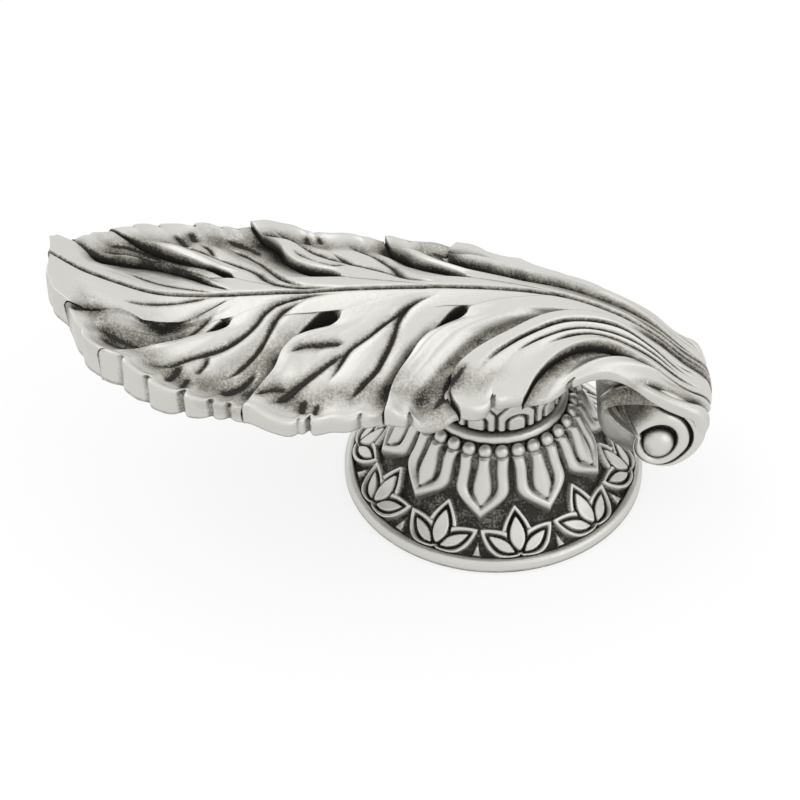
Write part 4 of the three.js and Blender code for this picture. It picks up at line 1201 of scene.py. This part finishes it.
def silver_material():
    """Satin silver plate with a black patina in its recesses, and the painted shade that the scroll's mesh
    carries.
    """
    material, shader = new_material("antique_silver", {})
    tree = Nodes(material)
    patina_and_shade_share = silver_patina_and_shade(tree)
    ramp = tree.nodes.new("ShaderNodeValToRGB")
    stops = ramp.color_ramp.elements
    clean, dulled, black = SILVER_TONES
    stops[0].position, stops[0].color = clean
    stops[1].position, stops[1].color = black
    stops.new(dulled[0]).color = dulled[1]
    tree.links.new(patina_and_shade_share, ramp.inputs["Fac"])
    tree.links.new(ramp.outputs["Color"], shader.inputs["Base Color"])

    rough = tree.math("ADD", tree.math("MULTIPLY", patina_and_shade_share, PATINA_ROUGHNESS), SILVER_ROUGHNESS)
    tree.links.new(tree.math("ADD", rough, tree.spread(*RUB)), shader.inputs["Roughness"])
    metal = tree.math("SUBTRACT", 1.0, tree.math("MULTIPLY", patina_and_shade_share, PATINA_DULLING))
    tree.links.new(metal, shader.inputs["Metallic"])
    tree.links.new(silver_bump(tree), shader.inputs["Normal"])
    return material


def brass_material():
    return new_material("brass", {"Base Color": (0.72, 0.55, 0.28, 1), "Metallic": 1, "Roughness": 0.38})[0]


# The stage: the floor's size in metres, how much of it is seen as plain white, the light from all round,
# and the two lamps by name, place in metres, size in metres and watts
FLOOR_SIZE = 3.0
FLOOR_WHITE = 0.78
WORLD_LIGHT = 0.95
LAMPS = (("key", (-0.45, 0.35, 0.9), 0.9, 2.1), ("side", (0.7, -0.4, 0.5), 0.6, 1))
LAMP_TARGET = (-0.01, 0, 0.02)


def floor():
    """A white floor, which the camera and the metal see mostly as plain white, with a light shadow."""
    half = FLOOR_SIZE / 2
    mesh = bpy.data.meshes.new("floor")
    corners = [(-half, -half, 0), (half, -half, 0), (half, half, 0), (-half, half, 0)]
    mesh.from_pydata(corners, [], [(0, 1, 2, 3)])
    look = {"Base Color": (0.95, 0.95, 0.95, 1), "Roughness": 0.9, "Specular IOR Level": 0.1}
    material, shader = new_material("floor", look)
    nodes, links = material.node_tree.nodes, material.node_tree.links
    white = nodes.new("ShaderNodeEmission")
    blend = nodes.new("ShaderNodeMixShader")
    level = nodes.new("ShaderNodeMapRange")
    level.inputs["To Max"].default_value = FLOOR_WHITE
    links.new(seen_by_camera_or_gloss(material.node_tree), level.inputs["Value"])
    links.new(level.outputs["Result"], blend.inputs["Fac"])
    links.new(shader.outputs["BSDF"], blend.inputs[1])
    links.new(white.outputs["Emission"], blend.inputs[2])
    links.new(blend.outputs["Shader"], nodes["Material Output"].inputs["Surface"])
    mesh.materials.append(material)
    place_object("floor", mesh)


def lamp(name, place, size, watts):
    """A soft square lamp at place that faces the object."""
    data = bpy.data.lights.new(name, "AREA")
    data.shape = "SQUARE"
    data.size = size
    data.energy = watts
    face(place_object(name, data), place, Vector(place) - Vector(LAMP_TARGET))


def seen_by_camera_or_gloss(tree):
    """A socket that is 1 for camera, glossy and transmission rays, and 0 for the rest."""
    ray = tree.nodes.new("ShaderNodeLightPath")
    seen = ray.outputs["Is Camera Ray"]
    for kind in ("Is Glossy Ray", "Is Transmission Ray"):
        either = tree.nodes.new("ShaderNodeMath")
        either.operation = "MAXIMUM"
        tree.links.new(seen, either.inputs[0])
        tree.links.new(ray.outputs[kind], either.inputs[1])
        seen = either.outputs[0]
    return seen


def studio_world():
    """Even light, a little dimmer than the white that the camera and the metal see."""
    world = bpy.data.worlds.new("studio")
    world.use_nodes = True
    tree = world.node_tree
    background = tree.nodes["Background"]
    background.inputs["Color"].default_value = (1, 1, 1, 1)
    level = tree.nodes.new("ShaderNodeMapRange")
    set_inputs(level, {"To Min": WORLD_LIGHT, "To Max": 1})
    tree.links.new(seen_by_camera_or_gloss(tree), level.inputs["Value"])
    tree.links.new(level.outputs["Result"], background.inputs["Strength"])
    bpy.context.scene.world = world


def lights():
    studio_world()
    for values in LAMPS:
        lamp(*values)


# The camera, from the photograph: its height angle, its distance and the point in the picture's middle, in
# millimetres, and the number of pixels to a millimetre there
CAMERA_ELEVATION = 43.5
CAMERA_DISTANCE = 450
CAMERA_TARGET = (-11.3, 0, 11.2)
CAMERA_SCALE = 8.39
PICTURE_PIXELS = 800


def camera():
    data = bpy.data.cameras.new("camera")
    data.sensor_width = 36
    width_seen = PICTURE_PIXELS / CAMERA_SCALE
    data.angle = 2 * math.atan(width_seen / 2 / CAMERA_DISTANCE)
    data.clip_start = 0.01
    eye = place_object("camera", data)
    tilt = math.radians(CAMERA_ELEVATION)
    away = Vector((0, -math.cos(tilt), math.sin(tilt)))
    place = (Vector(CAMERA_TARGET) + away * CAMERA_DISTANCE) * MM
    face(eye, place, away)
    bpy.context.scene.camera = eye


def build():
    silver = silver_material()
    leaf_blade(silver)
    scroll_ends(silver)
    scroll_eyes(silver)
    stem(silver)
    plate(silver)
    beads(silver)
    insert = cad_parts["threaded_insert"]
    insert.data.materials.clear()
    insert.data.materials.append(brass_material())


build()
floor()
lights()
camera()
bpy.context.scene.view_settings.view_transform = "Standard"
